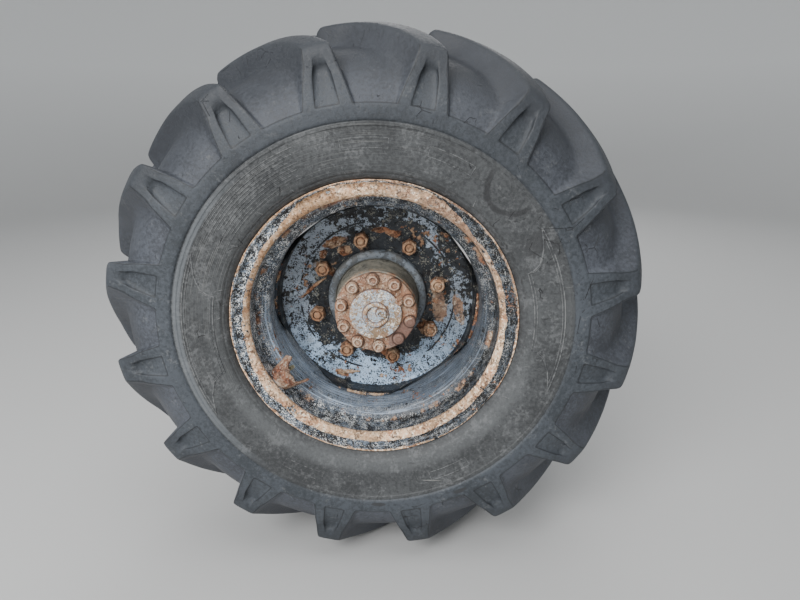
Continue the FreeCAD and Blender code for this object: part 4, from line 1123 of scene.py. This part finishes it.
shadowed = ranged(spot["Along"], -8.0, -1.0)
colour = tinted(colour, (0.040, 0.022, 0.016), shadowed, 0.6)
paint_in(shader, colour, nut_rust["Height"], 0.0010)
studs = ring_of("studs", spun("stud", stud_section, 24), stud_rust, stud_count, first_stud_deg, crease=50.0)
dressed(studs, "wheel_studs", None)
nuts = ring_of("nuts", spun("nut", nut_section, 36), stud_rust, stud_count, first_stud_deg, crease=40.0)
dressed(nuts, "wheel_nuts", None)

# Hub and planet housing.
# Cast iron, painted grey: the hub's ring stands in the disc's bore, the drum behind it runs on the
# spindle, and the housing's neck comes out through the middle. Dust lies on what faces up.
settled_dust, given = shader_group("settled_dust", {"Place": None, "Amount": 0.5, "Scale": 30.0},
    {"Mask": "Float"})
facing = add(settled_dust, "ShaderNodeSeparateXYZ", {0: add(settled_dust,
    "ShaderNodeTexCoord").outputs["Normal"]}).outputs[2]
blotches = noise_over(given["Place"], given["Scale"], 6.0, 0.65)
add(settled_dust, "NodeGroupOutput", {"Mask": times(times(ranged(facing, -0.5, 0.9, 0.15, 1.0),
    ranged(blotches, 0.38, 0.62)), given["Amount"])})

hub_casting, tree, shader, spot = finish_with("hub_casting", 0.62)
hub_paint = use(chipped_paint, spot, Paint=(0.165, 0.190, 0.220, 1.0), Under=(0.085, 0.095, 0.105, 1.0),
    Chips=0.36, Scale=200.0, Seed=7.0)
neck_paint = use(chipped_paint, spot, Paint=(0.200, 0.195, 0.165, 1.0), Under=(0.085, 0.080, 0.068, 1.0),
    Chips=0.40, Scale=120.0, Seed=8.0)
colour = mixed(ranged(spot["Radius"], 96.0, 90.0), hub_paint["Colour"], neck_paint["Colour"])
settled = use(settled_dust, spot, Amount=0.55)["Mask"]
settled = times(settled, ranged(spot["Radius"], 96.0, 90.0, 0.35, 1.0))
colour = mixed(settled, colour, (0.38, 0.35, 0.28))
neck_rust = use(rust, spot, Scale=60.0, Paleness=0.2, Redness=0.6)
near_cap = times(ranged(spot["Along"], -58.0, -88.0), ranged(neck_rust["Height"], 0.46, 0.56))
colour = mixed(near_cap, colour, neck_rust["Colour"])
paint_in(shader, colour, hub_paint["Height"], 0.0012)
hub_section = (
    (-11.0, 91.2, 1.0), (-13.6, 93.5, 1.5), (-15.0, 98.0, 2.5), (-14.6, 104.5, 3.0), (-10.5, 108.5, 2.0),
    (-1.0, 110.2, 1.0), (13.2, 110.2, 0.5), (13.2, 161.8, 2.5), (33.0, 161.8, 3.0), (36.0, 128.0, 10.0),
    (45.0, 117.5, 6.0), (130.0, 103.8, 4.0), (149.8, 93.8, 2.0), (149.8, 60.3, 1.0), (32.4, 60.3, 0.5),
    (32.4, 30.2, 0.5), (20.2, 30.2, 0.5), (20.2, 91.2, 0.5),
)
dressed(lathed("hub_body", rounded(hub_section), 160, crease=50.0), "hub", hub_casting)
neck_section = ((-92.0, 40.0, 0.5), (-92.0, 86.6, 2.0), (-84.0, 87.0, 3.0), (-76.0, 84.2, 4.0),
                (-40.0, 87.6, 8.0),
                (-16.0, 90.6, 2.0), (19.6, 90.8, 1.0), (19.6, 40.0, 0.5))
dressed(lathed("housing_neck", rounded(neck_section), 128, crease=50.0), "planet_housing",
    hub_casting)

# Hub cap with its bolts and plugs.
# A cast plate over the planet gears, its edge swelling a little round each bolt: eight bolts, two smooth
# plugs, and one odd bolt further in. All of it is rusted pink-brown and dusty.
cap_bolt_count = 10
cap_bolt_ring_r = 73.0
on_cap_ring = (cap_bolt_ring_r, 0.0)
first_cap_bolt_deg = 22.0
odd_bolt_at = (48.4, 28.6)
cap_rust, tree, shader, spot = finish_with("cap_rust", 0.88)
flat_rust = use(rust, spot, Scale=90.0, Paleness=0.44, Redness=0.55)
head_rust = use(rust, spot, Scale=150.0, Paleness=0.40, Redness=0.6, Seed=4.0)
colour = mixed(ranged(spot["Along"], -109.5, -112.5), flat_rust["Colour"], head_rust["Colour"])
colour = mixed(ranged(spot["Radius"], 58.0, 72.0, 0.10, 0.35), colour, (0.40, 0.235, 0.175))
colour = speckled(colour, (0.42, 0.20, 0.105), 0.5, spot, Scale=60.0, Cover=0.42, Edge=0.05, Seed=23.0,
    Clumping=0.8)
colour = speckled(colour, (0.84, 0.74, 0.60), 0.75, spot, Scale=380.0, Cover=0.24, Edge=0.015, Seed=21.0,
    Clumping=0.7)
colour = mixed(0.25, colour, (0.30, 0.155, 0.090))
colour = speckled(colour, (0.085, 0.045, 0.034), 0.80, spot, Scale=360.0, Cover=0.26, Edge=0.015, Seed=22.0,
    Clumping=0.5)
mauve = patched(spot, 58.0, -46.0, 42.0, 24.0, 48.0, 0.12)
colour = tinted(colour, (0.17, 0.100, 0.085), mauve, 0.78)
# painted shade in the corner round each bolt
off_bolt = times(maths("WRAP", less(spot["Angle"], first_cap_bolt_deg), 18.0, -18.0),
    cap_bolt_ring_r * math.pi / 180.0)
off_ring = less(spot["Radius"], cap_bolt_ring_r)
from_bolt = maths("SQRT", maths("MULTIPLY_ADD", off_bolt, off_bolt, times(off_ring, off_ring)))
corner_rust_and_bolt_shade = times(ranged(from_bolt, 16.5, 13.2), ranged(spot["Along"], -109.5, -108.0))
colour = tinted(colour, (0.050, 0.026, 0.018), corner_rust_and_bolt_shade, 0.85)
heads = between(from_bolt, 5.0, 6.6, 0.5)
colour = tinted(colour, (0.10, 0.055, 0.038), heads, 0.6)
rims = between(from_bolt, 7.2, 9.4, 0.5)
colour = mixed(times(times(rims, 0.32), ranged(mauve, 1.0, 0.3)), colour, (0.80, 0.68, 0.55))
paint_in(shader, colour, flat_rust["Height"], 0.0006)
cap_section = ((-107.0, 1.0, 0.0), (-107.0, 40.0, 0.0), (-107.0, 60.0, 0.0), (-107.0, 84.8, 3.0),
               (-102.6, 86.3, 2.0),
               (-95.4, 86.1, 1.0), (-95.4, 1.0, 0.0))


def swelling(y, r, deg):
    if r > 0.08:
        r -= 0.0007 * (1.0 - math.cos(math.radians((deg - first_cap_bolt_deg) * cap_bolt_count)))
    return y + 0.0005 * noise.noise(Vector(on_wheel(y, deg, r)) * 60.0), r


dressed(lathed("cap_plate", rounded(cap_section), 160, swelling, 50.0), "hub_cap", cap_rust)
bolt_section = [(-114.4, 0.0, 0.0), (-114.6, 3.4, 0.0), (-115.6, 4.6, 0.0), (-117.2, 5.6, 0.0),
                (-118.0, 7.2, 0.0), (-117.6, 9.2, 0.3),
                (-116.2, 10.6, 0.7), (-114.6, 11.0, 0.85), (-111.4, 11.0, 0.85),
                (-110.6, 11.4, 0.3), (-110.2, 12.6, 0.0), (-108.4, 13.1, 0.0), (-107.2, 12.8, 0.0),
                (-107.2, 0.0, 0.0)]
cap_bolts = ring_of("cap_bolt_heads", spun("bolt", bolt_section, 36, on_cap_ring), cap_rust, cap_bolt_count,
    first_cap_bolt_deg, made=8, crease=40.0)
dressed(cap_bolts, "cap_bolts", None)
plug_section = [(-115.6, 0.0, 0.0), (-115.7, 5.5, 0.0), (-115.2, 9.0, 0.0), (-113.8, 11.0, 0.0),
                (-111.6, 11.6, 0.0), (-107.2, 11.6, 0.0), (-107.2, 0.0, 0.0)]
plugs = ring_of("cap_plug_heads", spun("plug", plug_section, 32, on_cap_ring), cap_rust, cap_bolt_count,
    first_cap_bolt_deg + 8 * 36.0, made=2, crease=60.0)
dressed(plugs, "cap_plugs", None)

# Centre cover and oil plug.
# A raised round cover in the middle of the cap, pale with dust and old paint, with a ring boss that holds
# the oil plug off its middle.
oil_plug_at = (11.8, 4.5)
cover_pale, tree, shader, spot = finish_with("cover_pale", 0.85)
grey_blue = use(chipped_paint, spot, Paint=(0.44, 0.56, 0.67, 1.0), Under=(0.26, 0.18, 0.11, 1.0),
    Chips=0.44, Scale=300.0, Seed=2.0)
crusted = use(rust, spot, Scale=90.0, Paleness=0.40, Redness=0.5, Seed=6.0)
boss = times(between(spot["Radius"], 18.0, 27.0, 1.0), ranged(spot["Along"], -117.5, -120.5))
edge = larger(boss, ranged(spot["Radius"], 43.0, 53.0, 0.30, 0.80))
colour = mixed(times(edge, ranged(crusted["Height"], 0.40, 0.55)), grey_blue["Colour"], crusted["Colour"])
colour = speckled(colour, (0.95, 0.89, 0.78), 0.85, spot, Scale=340.0, Cover=0.27, Edge=0.012, Seed=21.0,
    Clumping=0.8)
colour = speckled(colour, (0.090, 0.075, 0.065), 0.8, spot, Scale=460.0, Cover=0.16, Edge=0.015, Seed=22.0,
    Clumping=0.4)
off_plug = distance_from(spot, *oil_plug_at)
round_plug = larger(between(off_plug, 11.0, 13.0, 0.6), between(off_plug, 4.6, 5.8, 0.5))
round_boss = larger(between(spot["Radius"], 26.6, 28.6, 0.6), between(spot["Radius"], 16.2, 18.2, 0.6))
round_boss = times(round_boss, ranged(off_plug, 10.5, 12.0))
lines = larger(larger(round_boss, round_plug), ranged(spot["Radius"], 53.0, 54.6))
colour = tinted(colour, (0.13, 0.060, 0.035), lines, 0.85)
paint_in(shader, colour, crusted["Height"], 0.0007)
cover_section = ((-117.0, 1.0, 0.0), (-117.0, 17.5, 1.5), (-121.0, 19.0, 1.5), (-122.0, 22.5, 2.0),
                 (-121.0, 25.8, 1.5), (-115.8, 27.2, 2.0), (-115.2, 34.0, 0.0), (-115.0, 52.4, 1.5),
                 (-113.0, 54.6, 1.4), (-107.2, 54.9, 0.5), (-107.2, 1.0, 0.0))
dressed(lathed("cover_plate", rounded(cover_section), 128, swelling, crease=50.0), "centre_cover",
    cover_pale)
oil_plug_section = [(-125.4, 0.0, 0.0), (-125.6, 4.6, 0.0), (-126.2, 5.6, 0.0), (-128.2, 6.6, 0.0),
                    (-128.4, 8.6, 0.1), (-127.4, 10.2, 0.4), (-125.6, 10.8, 0.6), (-121.0, 10.8, 0.6),
                    (-120.4, 11.2, 0.0), (-117.2, 11.2, 0.0), (-117.2, 0.0, 0.0)]
dressed(spun("oil_plug_head", oil_plug_section, 32, oil_plug_at), "oil_plug", cover_pale)
odd_bolt_section = [(y - 5.0, r * 0.66, h) for y, r, h in bolt_section]
dressed(spun("odd_bolt", odd_bolt_section, 24, odd_bolt_at), "hub_cap", cap_rust)

# Valve and its guard.
# A plated brass valve on the bead seat's underside, behind a bent and ragged piece of rusted plate.
valve_deg = 212.5
valve_y = -127.0
guard_deg = 214.4
valve_brass, tree, shader, spot = finish_with("valve_brass", 0.5, 0.75)
tarnish = use(flecks, spot, Scale=120.0, Cover=0.28, Edge=0.06)
colour = mixed(tarnish["Mask"], (0.86, 0.82, 0.58), (0.30, 0.28, 0.18))
paint_in(shader, colour, tarnish["Height"], 0.0005, ranged(tarnish["Height"], 0.3, 0.7, 0.35, 0.65))
guard_rust, tree, shader, spot = finish_with("guard_rust", 0.9)
plate_rust = use(rust, spot, Scale=110.0, Paleness=0.44, Redness=1.0, Seed=5.0)
colour = mixed(0.40, plate_rust["Colour"], (0.120, 0.060, 0.050))
paint_in(shader, colour, plate_rust["Height"], 0.0022)


def seat_axes(deg):
    """Directions outwards from the axle and round the wheel at a place on the rim."""
    a = math.radians(deg)
    return Vector((math.cos(a), 0.0, math.sin(a))), Vector((-math.sin(a), 0.0, math.cos(a)))


def pointing_in(name, deg, section, count=24):
    """A piece turned about a line from the seat towards the axle; each (radius on the wheel, own radius)."""
    out, side = seat_axes(deg)
    vertices = []
    for place, r in section:
        for k in range(count):
            t = 2.0 * math.pi * k / count
            p = out * place + side * (r * math.cos(t)) + Vector((0.0, r * math.sin(t) + valve_y, 0.0))
            vertices.append(from_mm(*p))
    faces = caps(len(section), count) + quads(len(section), count)
    return mesh_object(name, vertices, faces, 40.0)


valve_section = ((247.0, 8.8), (243.0, 8.8), (241.0, 7.6), (240.6, 5.2), (232.0, 5.0), (220.0, 4.8),
                 (219.5, 4.0),
                 (218.0, 4.0), (217.5, 4.6), (210.0, 4.6), (209.5, 3.9), (204.6, 3.7), (204.2, 3.0))
dressed(pointing_in("valve_tube", valve_deg, valve_section), "valve_stem", valve_brass)


def guard_mesh():
    """Half a cone of plate about the valve, both faces and its torn free edge."""
    out, side = seat_axes(guard_deg)
    rows, columns = 12, 40
    vertices = []
    for face in (0.0, -3.2):
        for i in range(rows + 1):
            for j in range(columns + 1):
                turn = math.radians(-96.0 + 192.0 * j / columns)
                torn = 6.0 * noise.noise(Vector((j * 0.21, 2.0, 0.0))) + 2.0 * noise.noise(Vector((j * 0.9,
                    7.0, 0.0)))
                peak = (13.0 * math.exp(-((j - 7.0) / 5.0) ** 2) - 5.0 * math.exp(-((j - 23.0) / 6.0) ** 2)
                    + 9.0 * math.exp(-((j - 37.0) / 5.0) ** 2))
                reach = 43.0 + torn + peak
                t = i / rows
                place = 247.4 - reach * t
                r = 26.0 + 9.0 * t + face + 0.8 * noise.noise(Vector((i * 0.5, j * 0.3, 1.0)))
                p = out * place + side * (r * math.sin(turn)) + Vector((0.0, valve_y - r * math.cos(turn),
                    0.0))
                vertices.append(from_mm(*p))
    n = columns + 1
    sheet = (rows + 1) * n
    faces = []
    for i in range(rows):
        for j in range(columns):
            a0 = i * n + j
            faces.append((a0, a0 + 1, a0 + 1 + n, a0 + n))
            faces.append((sheet + a0, sheet + a0 + n, sheet + a0 + n + 1, sheet + a0 + 1))
    border = ([j for j in range(n)] + [i * n + columns for i in range(1, rows + 1)]
        + [rows * n + j for j in range(columns - 1, -1, -1)] + [i * n for i in range(rows - 1, 0, -1)])
    for u, v in zip(border, border[1:] + border[:1]):
        faces.append((u, v, sheet + v, sheet + u))
    return mesh_object("guard_plate", vertices, faces, 50.0)


dressed(guard_mesh(), "valve_guard", guard_rust)

# Axle end.
# The fixed arm, spindle, bolts, bush, seal and the half shaft keep their own shapes and get a finish.
axle_casting, tree, shader, spot = finish_with("axle_casting", 0.65)
arm_paint = use(chipped_paint, spot, Paint=(0.095, 0.098, 0.105, 1.0), Under=(0.060, 0.036, 0.026, 1.0),
    Chips=0.22, Scale=38.0, Seed=11.0)
settled = use(settled_dust, spot, Amount=0.7)["Mask"]
colour = mixed(settled, arm_paint["Colour"], (0.26, 0.235, 0.20))
arm_rust = use(rust, spot, Scale=50.0, Paleness=0.2, Redness=0.6, Seed=8.0)
colour = mixed(flecked(spot, Scale=22.0, Cover=0.16, Edge=0.02, Seed=2.0), colour, arm_rust["Colour"])
paint_in(shader, colour, arm_paint["Height"], 0.0012)

# Turned metal: fine rings left by the tool, dulled in patches by oil and handling.
turned_metal, given = shader_group("turned_metal", {"Place": None, "Along": 0.0, "Radius": 0.0,
    "Bright": (0.5, 0.5, 0.5, 1.0), "Dull": (0.2, 0.2, 0.2, 1.0), "Dulled": 0.4},
    {"Colour": "Color", "Height": "Float", "Rough": "Float"})
tool_place = add(turned_metal, "ShaderNodeCombineXYZ", {"X": times(given["Along"], 2.2),
    "Y": times(given["Radius"], 2.2)})
tool_rings = noise_over(tool_place.outputs[0], 1.0, 2.0)
dulled = flecked(given, Scale=34.0, Cover=given["Dulled"], Edge=0.08)
bright = mixed(ranged(tool_rings, 0.35, 0.65, 0.0, 0.3), given["Bright"], given["Dull"])
add(turned_metal, "NodeGroupOutput", {"Colour": mixed(times(dulled, 0.7), bright, given["Dull"]),
    "Height": tool_rings, "Rough": ranged(maths("ADD", dulled, tool_rings), 0.3, 1.6, 0.28, 0.62)})


def turned_finish(name, bright, dull, dulled, metallic):
    """A turned metal material with its own two tones."""
    material, tree, shader, spot = finish_with(name, 0.4, metallic)
    metal = use(turned_metal, spot, Along=spot["Along"], Radius=spot["Radius"], Bright=(*bright, 1.0),
        Dull=(*dull, 1.0), Dulled=dulled)
    paint_in(shader, metal["Colour"], metal["Height"], 0.0002, metal["Rough"])
    return material


machined_steel = turned_finish("machined_steel", (0.52, 0.50, 0.47), (0.20, 0.17, 0.14), 0.40, 1.0)
zinc_bolts = turned_finish("zinc_bolts", (0.46, 0.44, 0.39), (0.20, 0.13, 0.09), 0.55, 0.85)
bronze = turned_finish("bronze", (0.62, 0.44, 0.22), (0.22, 0.15, 0.08), 0.35, 1.0)
seal_rubber = turned_finish("seal_rubber", (0.030, 0.030, 0.031), (0.070, 0.062, 0.052), 0.35, 0.0)
for node, finish in (("axle_arm", axle_casting), ("spindle", machined_steel), ("spindle_bolts", zinc_bolts),
        ("shaft_bush", bronze), ("hub_seal", seal_rubber), ("half_shaft", machined_steel)):
    piece = frame["nodes"][node]
    for slot in piece.material_slots:
        slot.material = finish
